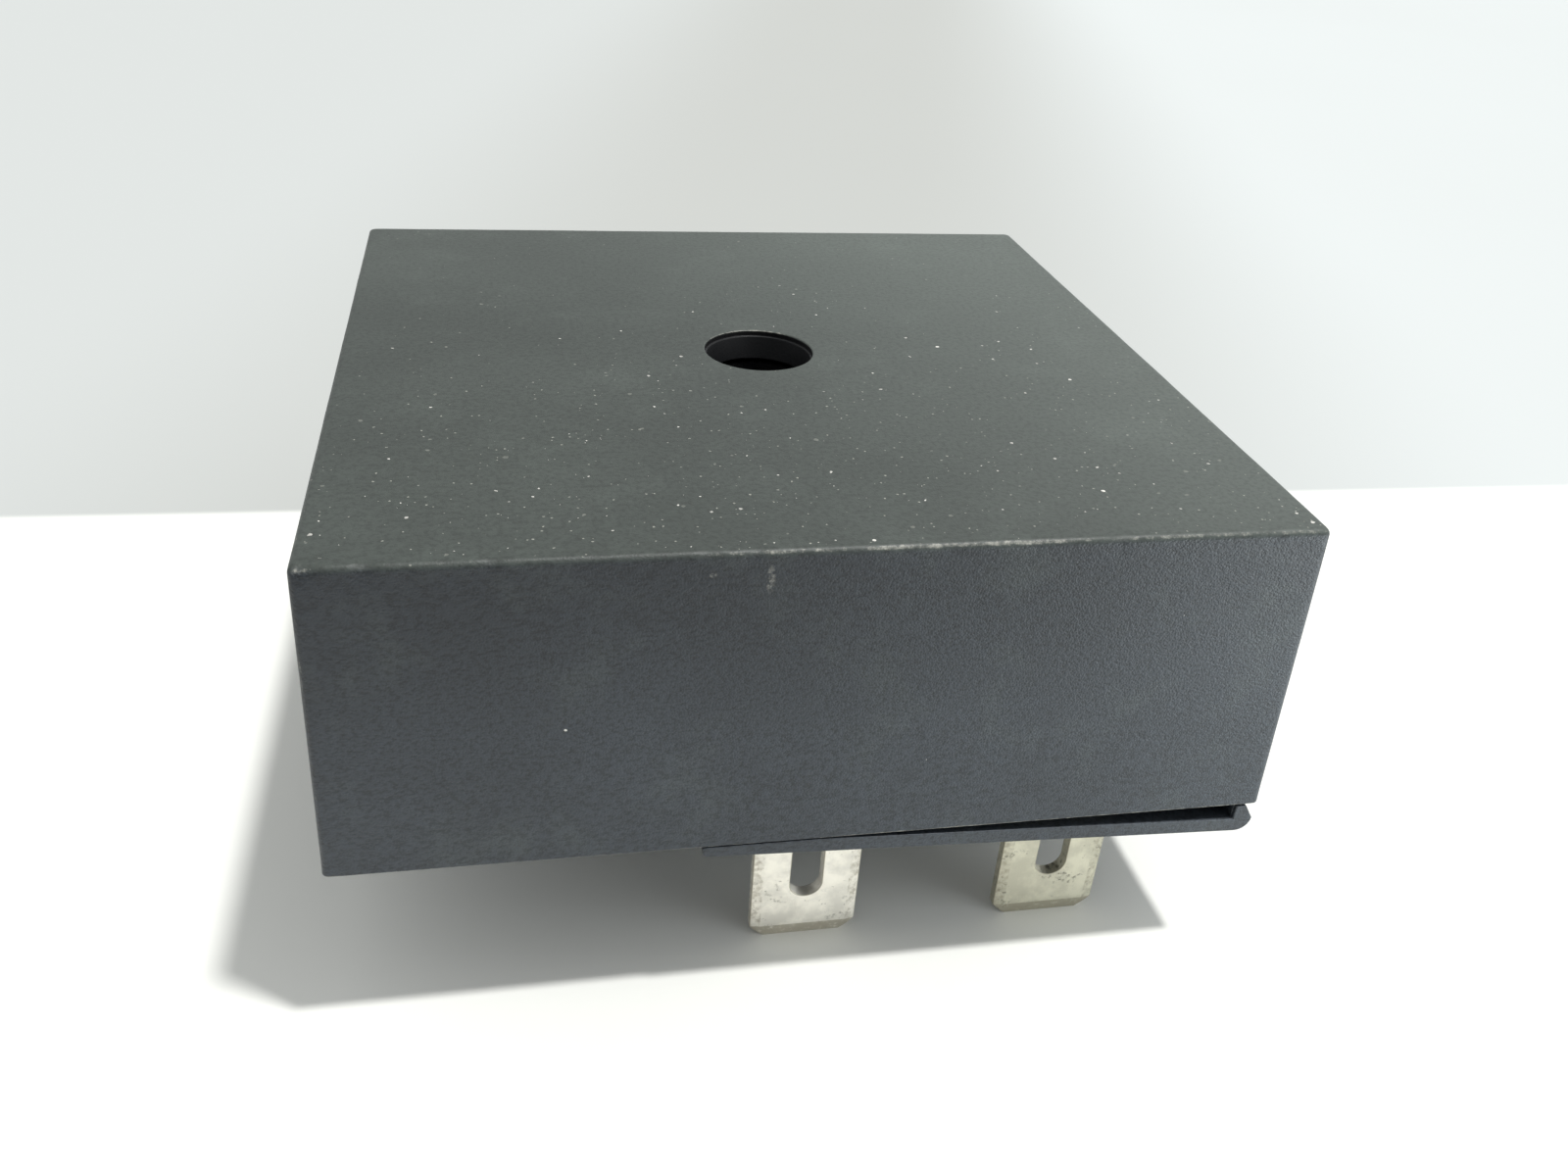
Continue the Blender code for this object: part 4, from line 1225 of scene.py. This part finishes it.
@dataclass
class BaseCover:
    """The thin warped cover under the walls, whose lip and flange show below the housing's rim."""

    thickness: float = 0.89
    drop: float = 0.67
    slope: float = 0.04
    lip_start: float = -6.4
    lip_back: float = -22.95
    end_inset: float = 0.15
    corner: float = 0.9
    start_corner: float = 0.35
    upstand: float = 0.62
    slant: float = 0.55
    closed_gap: float = 0.03
    gap: float = 0.35
    flange_start: float = 23.3
    flange_back: float = 0.25
    step: float = 0.03
    post_radius: float = 1.8
    post_places: Flat = (20.8, 15.0)
    post_top: float = 11.9
    post_sink: float = 0.3
    sleeve_hole: float = 4.45
    slip: float = 0.3
    softness: float = 0.07
    inner: float = 23.8
    housing: Extent = field(default_factory=lambda: Extent.of("housing"))

    def underside(self, x: float) -> float:
        """Height of its lower face."""
        return self.housing.low.z - self.drop - self.slope * (x - self.lip_start)

    def topside(self, x: float) -> float:
        """Height of its upper face."""
        return self.underside(x) + self.thickness

    def right_end(self, step: float) -> list[Flat]:
        """Its right end seen from the front, from the rounded lower corner to the foot of the upstand.

        Args:
            step: how much it is drawn in all round.

        Returns:
            The outline's points.
        """
        end = self.housing.high.x - self.end_inset - step
        top = self.housing.low.z - self.closed_gap - 0.07 - step
        low = end - self.corner
        centre = (low, self.underside(low) + step + self.corner)
        points = quarter(centre, self.corner, -90, 8)
        outside = end - self.slant
        inside = outside - self.upstand
        return points + [(outside, top), (inside, top), (inside, self.topside(inside) - step)]

    def lip_outline(self) -> list[Flat]:
        """The front lip: closed on the rim at the left, and hanging clear at the right."""
        closed = self.housing.low.z - self.closed_gap
        meets = self.lip_start + (self.thickness - self.drop + self.closed_gap) / self.slope
        radius = self.start_corner
        centre = (self.lip_start + radius, self.underside(self.lip_start) + radius)
        start = quarter(centre, radius, 180, 5)
        return start + self.right_end(0) + [(meets, closed), (self.lip_start, closed)]

    def panel(self) -> Shape:
        """The panel with its slots for the blades and its hole for the sleeve."""
        edge = self.inner - self.gap
        shape = Shape()
        lift = 2 * self.step
        slab = [(x, self.underside(x) + lift) for x in (-edge, edge)]
        slab += [(x, self.topside(x) - lift) for x in (edge, -edge)]
        shape.prism(slab, Axis.Y, -edge, edge)
        cutters = Shape()
        low, high = self.underside(edge) - 1, self.topside(-edge) + 1
        cutters.prism(circle(self.sleeve_hole, 64), Axis.Z, low, high)
        for blade in TerminalBlades.boxes():
            x, y = blade.middle.x, blade.middle.y
            wide, deep = TerminalBlades.width / 2 + self.slip, blade.size.y / 2 + self.slip
            cutters.block((x - wide, y - deep, low), (x + wide, y + deep, high))
        return cut_away(shape, cutters)

    def build(self) -> None:
        """Makes the cover as one piece."""
        shape = self.panel()
        edge = self.inner - self.gap
        shape.prism(self.lip_outline(), Axis.Y, -self.housing.high.y, self.lip_back)
        start = self.flange_start
        flange = [(start, self.underside(start) + self.step), *self.right_end(self.step)]
        flange.append((start, self.topside(start) - self.step))
        shape.prism(flange, Axis.Y, self.flange_back - self.housing.high.y, self.housing.high.y)
        for x in (-self.post_places[0], self.post_places[0]):
            for y in (-self.post_places[1], self.post_places[1]):
                foot = self.topside(x) - self.post_sink
                shape.prism(circle(self.post_radius, 32, (x, y)), Axis.Z, foot, self.post_top)
        shape.soften(self.softness, 3, wear=0.35)
        shape.piece("base_cover_plate", SLATE, "base_cover", slot="slate_moulding")


def cut_away(shape: Shape, cutters: Shape) -> Shape:
    """A shape with cutters taken out of it.

    Args:
        shape: what is cut.
        cutters: what is taken away.

    Returns:
        The cut shape.
    """
    objects = []
    for source in (shape, cutters):
        mesh = bpy.data.meshes.new("working")
        source.mesh.to_mesh(mesh)
        source.mesh.free()
        objects.append(placed("working", mesh))
    target, tool = objects
    modifier = target.modifiers.new("cut", "BOOLEAN")
    modifier.object = tool
    modifier.operation = "DIFFERENCE"
    evaluated = target.evaluated_get(bpy.context.evaluated_depsgraph_get())
    made = Shape()
    made.mesh.from_mesh(evaluated.to_mesh())
    evaluated.to_mesh_clear()
    for used in objects:
        mesh = used.data
        bpy.data.objects.remove(used)
        bpy.data.meshes.remove(mesh)
    return made


@dataclass
class TerminalBlades:
    """The five quick-connect blades, each with a coined border, a thinned tip and a slot."""

    width: float = 6.3
    chamfer: float = 0.85
    tip_bevel: float = 0.9
    tip_thickness: float = 0.4
    slot_width: float = 1.9
    slot_bottom: float = 3.1
    slot_length: float = 4.5
    coin: float = 0.62
    coin_depth: float = 0.1
    # Painted shade: how strongly the thinned tip takes the dark bare colour, where it faces the shaded
    # floor.
    tip_shade: float = 0.85
    border_wear: float = 0.58
    dull: int = 2
    shoulder: float = 12.0
    shoulder_height: float = 0.5
    shoulder_overhang: float = 0.65
    lap: float = 0.2
    softness: float = 0.06
    slant_inset: float = 0.1
    corner_rise: float = 0.35
    tab_width: float = 1.4
    tab_spacing: float = 3.4

    @staticmethod
    def boxes() -> list[Extent]:
        """The blades' boxes, in order."""
        return [Extent.of(f"terminal_blade_{number}") for number in range(1, 6)]

    def outline(self, count: int) -> list[Flat]:
        """The blade's outline below its shoulders, from its top left corner round by the tip.

        Args:
            count: how many points each side and the tip have.

        Returns:
            The outline's points.
        """
        half, cut = self.width / 2, self.chamfer
        top = self.shoulder - self.shoulder_height + self.lap
        left = [(-half, top), (-half, cut), (-half + cut, 0.0)]
        corners = left + [(-x, z) for x, z in reversed(left)]
        points: list[Flat] = []
        for (x0, z0), (x1, z1) in zip(corners, corners[1:]):
            points += [(between(x0, x1, i / count), between(z0, z1, i / count)) for i in range(count)]
        return points + [corners[-1]]

    def slot_outline(self, count: int) -> list[Flat]:
        """The slot's outline.

        Args:
            count: how many points it has.

        Returns:
            Its points, from the top round by the left.
        """
        radius = self.slot_width / 2
        low = self.slot_bottom + radius
        high = self.slot_bottom + self.slot_length - radius
        points = []
        for i in range(count):
            angle = math.pi / 2 + 2 * math.pi * i / count
            middle = high if math.sin(angle) > 1e-6 else low
            points.append((radius * math.cos(angle), middle + radius * math.sin(angle)))
        return points

    def build_one(self, number: int, box: Extent) -> None:
        """Makes one blade.

        Args:
            number: the blade's number.
            box: its box.
        """
        x, y, half = box.middle.x, box.middle.y, box.size.y / 2
        shape = Shape()
        shape.prism([(x + u, v) for u, v in self.outline(8)], Axis.Y, y - half, y + half)
        cutter = Shape()
        cutter.prism([(x + u, v) for u, v in self.slot_outline(40)], Axis.Y, y - 2 * half, y + 2 * half)
        shape = cut_away(shape, cutter)
        self.coin_border(shape, Vector((x, y, 0)), half)
        low = self.shoulder - self.shoulder_height
        wide = self.width / 2 + self.shoulder_overhang
        shape.block((x - wide, y - half, low), (x + wide, y + half, self.shoulder))
        for side in (-1, 1):
            middle = x + side * self.tab_spacing / 2
            reach = self.tab_width / 2
            foot = self.shoulder - self.lap
            shape.block((middle - reach, y - half, foot), (middle + reach, y + half, box.high.z))
        shape.soften(self.softness)
        finish = DULL_TIN if number == self.dull else TIN
        shape.piece(f"blade_{number}", finish, f"terminal_blade_{number}", slot="tinned_brass")

    def coin_border(self, shape: Shape, middle: Vector, half: float) -> None:
        """Presses the border of both faces down, thins the tip, and marks the tip for its painted shade and
        the border for wear.

        Args:
            shape: the blade's shape.
            middle: the blade's middle at its tip.
            half: half its thickness.
        """
        mesh = shape.mesh
        inner = self.width / 2 - self.coin
        cuts = [((s * inner, 0, 0), (s, 0, 0)) for s in (-1, 1)]
        rise = self.corner_rise
        cuts += [((0, 0, height), (0, 0, -1)) for height in (self.tip_bevel, self.tip_bevel + rise)]
        slant = self.width / 2 + self.tip_bevel - self.slant_inset
        cuts += [((s * (slant - self.chamfer), 0, rise), (s, 0, -1)) for s in (-1, 1)]
        for place, way in cuts:
            geometry = mesh.verts[:] + mesh.edges[:] + mesh.faces[:]
            bmesh.ops.bisect_plane(mesh, geom=geometry, plane_co=middle + Vector(place), plane_no=way)
        for vert in mesh.verts:
            place = vert.co - middle
            side = max(0.0, abs(place.x) - inner) / self.coin
            corner = max(0.0, abs(place.x) - place.z - (slant - self.chamfer - rise)) / self.coin
            sink = self.coin_depth * min(1.0, max(side, corner))
            tip = max(0.0, self.tip_bevel - place.z) / self.tip_bevel
            reach = between(half - sink, self.tip_thickness / 2, min(1.0, tip))
            vert.co.y = middle.y + math.copysign(reach, place.y)
        layer = shape.worn()
        for face in mesh.faces:
            place = face.calc_center_median() - middle
            # Painted shade on the tip, wear on the border.
            if place.z < self.tip_bevel:
                face[layer] = self.tip_shade
            elif abs(place.x) > inner:
                face[layer] = self.border_wear

    def build(self) -> None:
        """Makes all five."""
        for number, box in enumerate(self.boxes(), start=1):
            self.build_one(number, box)


@dataclass(frozen=True)
class Fleck:
    """A fleck that keeps its place on the front wall."""

    x: float
    z: float
    radius: float


@dataclass
class GritAndDust:
    """Flecks of grit on the top face and a few on the front, each a small uneven lump."""

    count: int = 240
    smallest: float = 0.03
    largest: float = 0.2
    fineness: float = 3.4
    # Reach and lift of each ring of a fleck, as shares of its own.
    lump: tuple[Flat, ...] = ((1.0, -0.5), (0.86, 0.35), (0.4, 1.0))
    evenness: float = 0.35
    patchy: float = 0.5
    patch: float = 9.0
    to_right: float = 0.16
    to_front: float = 0.6
    proud: float = 0.02
    sunk: float = 0.003
    margin: float = 1.0
    clear_of_hole: float = 4.2
    sides: int = 7
    seed: int = 7
    box: Extent = field(default_factory=lambda: Extent.of("housing"))
    on_front: tuple[Fleck, ...] = (Fleck(-13.3, 18.6, 0.11), Fleck(5.2, 15.3, 0.04), Fleck(17.9, 23.4, 0.05))

    def fleck(self, shape: Shape, place: Point, radius: float, face: Axis, dice: random.Random) -> None:
        """Adds one fleck.

        Args:
            shape: the shape that gathers them.
            place: its middle, on the face.
            radius: its reach.
            face: the axis that its face looks along, Z for the top and Y for the front.
            dice: the run of random numbers.
        """
        outward = 1 if face is Axis.Z else -1
        turn, squash = dice.uniform(0, math.pi), dice.uniform(0.45, 1.0)
        rings = []
        for share, lift in self.lump:
            ring = []
            for u, v in circle(1.0, self.sides):
                wide = radius * share * (1 + 0.25 * dice.uniform(-1, 1))
                a, b = u * wide, v * wide * squash
                a, b = a * math.cos(turn) - b * math.sin(turn), a * math.sin(turn) + b * math.cos(turn)
                ring.append(moved(place, face.point(outward * lift * self.proud, a, b)))
            rings.append(ring)
        shape.loft(rings)

    def build(self) -> None:
        """Scatters the flecks, most of them towards the front and right of the top face."""
        dice = random.Random(self.seed)
        shape = Shape()
        half = self.box.high.x - self.margin
        top = self.box.high.z - self.proud - self.sunk
        placed = 0
        while placed < self.count:
            x, y = dice.uniform(-half, half), dice.uniform(-half, half)
            crowd = self.evenness + self.patchy * ripple((x, y, 0), self.patch, 2.0)
            crowd += self.to_right * x / half
            crowd -= self.to_front * y / half
            if math.hypot(x, y) < self.clear_of_hole or dice.random() > crowd:
                continue
            radius = between(self.smallest, self.largest, dice.random() ** self.fineness)
            self.fleck(shape, (x, y, top), radius, Axis.Z, dice)
            placed += 1
        slant = math.tan(HousingShell.draft)
        for fleck in self.on_front:
            y = self.box.low.y + (fleck.z - self.box.low.z) * slant + 1.5 * self.proud
            self.fleck(shape, (fleck.x, y, fleck.z), fleck.radius, Axis.Y, dice)
        shape.piece("settled_grit", DUST, "housing", stands_for=False)


@dataclass
class RelayUnit:
    """The changeover relay on the board: its cover, frame, coil, armature and contacts."""

    wire: float = 0.28
    wound: float = 1.1

    def winding(self) -> None:
        """Makes the coil as turns of wire laid side by side."""
        box = Extent.of("coil_winding")
        outer = box.size.x / 2
        turns = int(box.size.y / self.wire)
        steps = 6
        inner = outer - self.wound
        profile: list[Flat] = [(inner, 0.0)]
        for i in range(turns * steps + 1):
            swell = abs(math.sin(math.pi * i / steps))
            profile.append((outer - self.wire / 2 * (1 - swell), i * box.size.y / (turns * steps)))
        profile.append((inner, box.size.y))
        shape = Shape()
        shape.turned(profile, (box.middle.x, box.low.y, box.middle.z), Axis.Y, 48)
        shape.piece("coil_turns", COPPER, "coil_winding", slot="enamelled_copper")

    def build(self) -> None:
        """Makes and dresses the relay's pieces."""
        self.winding()
        rounded("relay_cover", DUST_COVER, "relay_cover_plastic", 0.35)
        rounded("relay_base", NYLON, "relay_plastic", 0.12)
        rounded("yoke", IRON, "relay_iron", 0.1)
        rounded("armature", IRON, "relay_iron", 0.1)
        rounded("coil_bobbin", NYLON, "relay_plastic", 0.08)
        dress("core", IRON)
        dress("return_spring", BRONZE)
        dress("contact_spring", BRONZE)
        dress("moving_contact", SILVER)
        for side in ("open", "closed"):
            dress(f"normally_{side}_arm", BRONZE)
            dress(f"normally_{side}_contact", SILVER)
        for number in (1, 2):
            dress(f"coil_pin_{number}", LEAD_TIN)


@dataclass
class Board:
    """The circuit board with its solder joints and tracks."""

    pad_height: float = 0.75
    pad_reach: float = 0.75
    track_width: float = 1.6
    track_height: float = 0.035
    track_run: Flat = (2.9, 1.3)
    bar_run: Flat = (1.35, 1.25)
    bar_reach: float = 2.6
    box: Extent = field(default_factory=lambda: Extent.of("circuit_board"))

    def joints(self) -> None:
        """Makes a solder fillet round each blade tab on the board's upper face."""
        shape = Shape()
        for blade in TerminalBlades.boxes():
            for side in (-1, 1):
                x = blade.middle.x + side * TerminalBlades.tab_spacing / 2
                self.fillet(shape, (x, blade.middle.y), (TerminalBlades.tab_width / 2, blade.size.y / 2))
        shape.piece("tab_solder", SOLDER, "circuit_board", stands_for=False)

    def fillet(self, shape: Shape, middle: Flat, core: Flat) -> None:
        """Adds one concave fillet round a tab.

        Args:
            shape: the shape that gathers them.
            middle: the tab's middle.
            core: half its width and depth.
        """
        rings = []
        for i in range(6):
            share = i / 5
            reach = self.pad_reach * (1 - share) ** 2
            height = self.box.high.z + 0.01 + self.pad_height * share
            ring = []
            for u, v in circle(1.0, 24):
                square = 1 / max(abs(u), abs(v))
                corner = between(square, 1.0, 0.5)
                x = middle[0] + u * corner * (core[0] + reach)
                y = middle[1] + v * corner * (core[1] + reach)
                ring.append((x, y, height))
            rings.append(ring)
        shape.loft(rings)

    def tracks(self) -> None:
        """Makes the wide supply tracks between the rear blades and the parts."""
        shape = Shape()
        low, high = self.box.high.z - 0.02, self.box.high.z + self.track_height
        for blade in TerminalBlades.boxes()[2:4]:
            x, y = blade.middle.x, blade.middle.y
            half = self.track_width / 2
            shape.block((x - half, y - self.track_run[0], low), (x + half, y - self.track_run[1], high))
            bar = self.bar_reach
            shape.block((x - bar, y - self.bar_run[0], low), (x + bar, y + self.bar_run[1], high))
        shape.soften(0.012, 1)
        shape.piece("supply_tracks", TRACK, "circuit_board", stands_for=False)

    def build(self) -> None:
        """Makes the joints and tracks, and dresses the board."""
        dress("circuit_board", BOARD)
        self.joints()
        self.tracks()


@dataclass
class SupplyParts:
    """The diodes, resistors, capacitors and varistor that feed the coil."""

    band_proud: float = 0.012
    band_sunk: float = 0.1
    diode_radius: float = 1.35
    diode_ring: float = 0.7
    ring_place: float = 1.6
    resistor_radius: float = 1.65
    resistor_ring: float = 0.6
    softness: float = 0.07
    tinning: float = 0.012

    def leads(self, node: str) -> None:
        """Makes the tinned leads of a part that lies along Y, as a skin over its own.

        Args:
            node: the part's node.
        """
        box = Extent.of(node)
        shape = Shape()
        shape.copy(node)
        mesh = shape.mesh
        body = [vert.co.y for vert in mesh.verts if vert.co.z > box.high.z - box.size.x / 4]
        low, high = min(body) - self.tinning, max(body) + self.tinning
        inner = [face for face in mesh.faces if low < face.calc_center_median().y < high]
        bmesh.ops.delete(mesh, geom=inner, context="FACES")
        bmesh.ops.holes_fill(mesh, edges=[edge for edge in mesh.edges if edge.is_boundary])
        bmesh.ops.recalc_face_normals(mesh, faces=mesh.faces[:])
        mesh.normal_update()
        for vert in mesh.verts:
            vert.co += vert.normal * self.tinning
        shape.piece(f"{node}_leads", LEAD_TIN, node, stands_for=False)

    def bands(self, name: str, node: str, radius: float, marks: dict[float, Finish], width: float) -> None:
        """Makes the rings painted round a part that lies along Y.

        Args:
            name: what the rings are called.
            node: the part's node.
            radius: its body's radius.
            marks: the finish of each ring, by its place from the middle.
            width: how wide each is.
        """
        box = Extent.of(node)
        middle = (box.middle.x, box.middle.y, box.high.z - radius)
        for i, (along, finish) in enumerate(marks.items()):
            shape = Shape()
            outer, inner = radius + self.band_proud, radius - self.band_sunk
            ring = [(inner, along - width / 2), (outer, along - width / 2)]
            ring += [(outer, along + width / 2), (inner, along + width / 2)]
            shape.turned(ring, middle, Axis.Y, 40)
            shape.piece(f"{name}_{i + 1}", finish, node, stands_for=False)

    def diode(self, node: str, rings: str, along: float) -> None:
        """Makes a diode with its leads and its one ring.

        Args:
            node: its node.
            rings: what its ring is called.
            along: the ring's place from the middle.
        """
        rounded(node, DIODE, "diode_epoxy", self.softness)
        self.leads(node)
        self.bands(rings, node, self.diode_radius, {along: BAND}, self.diode_ring)

    def build(self) -> None:
        """Makes the parts with their leads and rings."""
        for number in range(1, 5):
            self.diode(f"rectifier_diode_{number}", f"diode_{number}_ring", self.ring_place)
        self.diode("flyback_diode", "flyback_ring", -self.ring_place)
        colours = {-2.6: BROWN_BAND, -1.2: BAND, 0.2: BROWN_BAND, 2.6: GOLD_BAND}
        for name in ("inrush_resistor", "bleed_resistor"):
            rounded(name, ENAMEL, "resistor_enamel", self.softness)
            self.leads(name)
            self.bands(f"{name}_ring", name, self.resistor_radius, colours, self.resistor_ring)
        rounded("smoothing_capacitor", CAN, "can_sleeve", 0.12)
        self.leads("smoothing_capacitor")
        rounded("film_capacitor", YELLOW_CASE, "capacitor_case", 0.3)
        rounded("varistor", VARISTOR, "varistor_coat", 0.3)


def rounded(node: str, finish: Finish, slot: str, width: float) -> None:
    """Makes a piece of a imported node's own shape with rounded edges.

    Args:
        node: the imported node.
        finish: its finish.
        slot: the record's slot.
        width: how far the rounding reaches.
    """
    shape = Shape()
    shape.copy(node)
    shape.soften(width, 3)
    shape.piece(f"{node}_rounded", finish, node, slot=slot)


def dress(node: str, finish: Finish) -> None:
    """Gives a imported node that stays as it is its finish.

    Args:
        node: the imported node.
        finish: its finish.
    """
    for slot in frame["nodes"][node].material_slots:
        slot.material = finish.material()
    log.info("%s: dressed in %s", node, finish.name)


@dataclass
class Stage:
    """The pale floor, whose tone changes behind the object, and the plain white surroundings."""

    reach: float = 900.0
    tone_line: float = 32.5
    tone_slope: float = -0.021
    near: Colour = (0.95, 0.95, 0.9)
    far: Colour = (0.52, 0.53, 0.505)
    # Painted shade: the floor far in front of the object darker, so the front wall reflects a dim room.
    painted_front_shade: Colour = (0.6, 0.6, 0.59)
    # Painted light: beyond the line the tone is lighter to the right and the left than in the middle,
    # standing in for uneven light on a wall.
    right: Colour = (0.7, 0.73, 0.72)
    left: Colour = (0.6, 0.62, 0.605)
    cloud: Colour = (0.6, 0.6, 0.58)
    light: Colour = (0.97, 0.99, 1.0)
    ambient: float = 0.7
    sheen: float = 0.58
    room_front: float = 0.1

    def floor_material(self) -> bpy.types.Material:
        """The floor's finish: near white with painted shade far in front, then a soft grey tone beyond a
        line with painted light to its sides, clear from below.
        """
        recipe = Recipe("floor")
        line = recipe.total(recipe.y, recipe.product(recipe.x, -self.tone_slope), -self.tone_line)
        beyond = recipe.ramp(line, -0.4, 0.9)
        bearing = recipe.total(recipe.x, recipe.product(recipe.y, -0.28))
        lit = recipe.mixed(recipe.ramp(bearing, 10.0, 90.0), self.far, self.right)
        side = recipe.mixed(recipe.ramp(bearing, -90.0, -20.0), self.left, lit)
        tone = recipe.mixed(recipe.product(recipe.noise(90.0, 1), 0.12), side, self.cloud)
        front = recipe.mixed(recipe.ramp(recipe.y, -115.0, -52.0), self.painted_front_shade, self.near)
        colour = recipe.mixed(beyond, front, tone)
        grain = recipe.noise(1.5, 2)
        made = recipe.finish(colour, recipe.total(recipe.product(grain, 0.1), 0.8), recipe.bump(grain, 0.01))
        recipe.feed(recipe.shader.inputs["Specular IOR Level"], 0.0)
        clear = recipe.node("ShaderNodeBsdfTransparent")
        pick = recipe.node("ShaderNodeMixShader")
        output = recipe.tree.nodes["Material Output"]
        recipe.feed(pick.inputs[0], recipe.node("ShaderNodeNewGeometry").outputs["Backfacing"])
        recipe.feed(pick.inputs[1], recipe.shader.outputs[0])
        recipe.feed(pick.inputs[2], clear.outputs[0])
        recipe.feed(output.inputs["Surface"], pick.outputs[0])
        return made

    def floor(self) -> None:
        """Makes the floor level with the blade tips."""
        reach = self.reach * MM
        mesh = bpy.data.meshes.new("floor")
        ends = [(x * reach, y * reach, 0) for x, y in ((-1, -1), (1, -1), (1, 1), (-1, 1))]
        mesh.from_pydata(ends, [], [(0, 1, 2, 3)])
        mesh.materials.append(self.floor_material())
        made = placed("floor", mesh)

    def surroundings(self) -> None:
        """Makes the world: soft light on the object, and white where it is seen or reflected."""
        world = bpy.data.worlds.new("surroundings")
        bpy.context.scene.world = world
        world.use_nodes = True
        bench = Bench(world.node_tree)
        background = bench.tree.nodes["Background"]
        x, y, z = bench.axes(bench.node("ShaderNodeTexCoord").outputs["Generated"])
        facing = bench.total(bench.product(y, -1.0), bench.product(z, -0.35), bench.product(x, -0.25))
        room = bench.ramp(facing, -0.1, 0.95)
        soft = bench.span(room, self.ambient, self.room_front)
        window = bench.ramp(x, 0.08, 0.5, 0.0, 1.0 - self.sheen)
        shiny = bench.total(bench.span(room, self.sheen, self.room_front), window)
        path = bench.node("ShaderNodeLightPath")
        mirrored = bench.math(Sum.LARGER, path.outputs["Is Glossy Ray"], path.outputs["Is Transmission Ray"])
        level = bench.node("ShaderNodeMix", data_type="FLOAT")
        for socket, value in zip(level.inputs[:1] + level.inputs[2:4], (mirrored, soft, shiny)):
            bench.feed(socket, value)
        white = bench.math(Sum.LARGER, level.outputs[0], path.outputs["Is Camera Ray"])
        bench.feed(background.inputs["Strength"], white)
        bench.feed(background.inputs["Color"], self.light)

    def build(self) -> None:
        """Makes the floor and the surroundings."""
        self.floor()
        self.surroundings()


@dataclass
class Lamps:
    """A broad lamp overhead, a little to the front and right, and a soft low one at the front's right."""

    travel: Point = (-0.272, 0.13, -1.0)
    strength: float = 2.25
    spread: float = math.radians(4)
    side_place: Point = (76.0, -70.0, 8.0)
    side_aim: Point = (14.0, -25.0, 14.0)
    side_width: float = 60.0
    side_height: float = 12.0
    side_power: float = 0.04
    side_colour: Colour = (0.86, 0.95, 1.0)

    def add(self, name: str, kind: str, energy: float, travel: Vector) -> bpy.types.Object:
        """Adds one lamp.

        Args:
            name: its name.
            kind: its type.
            energy: its strength.
            travel: the way its light goes.

        Returns:
            The lamp.
        """
        data = bpy.data.lights.new(name, kind)
        data.energy = energy
        lamp = placed(name, data)
        lamp.rotation_mode = "QUATERNION"
        lamp.rotation_quaternion = travel.to_track_quat("-Z", "Y")
        return lamp

    def build(self) -> None:
        """Makes both lamps."""
        overhead = self.add("overhead", "SUN", self.strength, Vector(self.travel))
        overhead.data.angle = self.spread
        side = self.add("side", "AREA", self.side_power, Vector(self.side_aim) - Vector(self.side_place))
        side.data.shape = "RECTANGLE"
        side.data.size = self.side_width * MM
        side.data.size_y = self.side_height * MM
        side.data.color = self.side_colour
        side.location = Vector(self.side_place) * MM


@dataclass
class Viewpoint:
    """The camera, held close above the front left corner and tipped a little."""

    place: Point = (-15.08, -77.4, 58.4)
    aim: Point = (-0.772, -15.3, 20.0)
    roll: float = math.radians(4.32)
    lens: float = 30.71

    def build(self) -> None:
        """Makes the camera and the plain view settings."""
        data = bpy.data.cameras.new("camera")
        data.lens = self.lens
        data.clip_start = 1 * MM
        data.clip_end = 10.0
        camera = placed("camera", data)
        camera.rotation_mode = "QUATERNION"
        ahead = Vector(self.aim) - Vector(self.place)
        level = ahead.to_track_quat("-Z", "Y")
        tip = Matrix.Rotation(self.roll, 4, "Z").to_quaternion()
        camera.rotation_quaternion = level @ tip
        camera.location = Vector(self.place) * MM
        bpy.context.scene.camera = camera
        bpy.context.scene.view_settings.view_transform = "Standard"


def corners(box: tuple[Vector, Vector]) -> list[list[float]]:
    """A box as plain lists of numbers."""
    return [list(corner) for corner in box]


def main() -> None:
    """Builds the scene in order."""
    logging.basicConfig(level=logging.INFO, format="%(name)s: %(message)s")
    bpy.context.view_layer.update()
    outside = (HousingShell(), GritAndDust(), BaseCover(), TerminalBlades())
    inside = (Board(), RelayUnit(), SupplyParts())
    dress("mounting_sleeve", SLEEVE)
    for part in (Stage(), Lamps(), Viewpoint(), *outside, *inside):
        part.build()
        log.info("built %s", type(part).__name__)


if __name__ == "__main__":
    main()
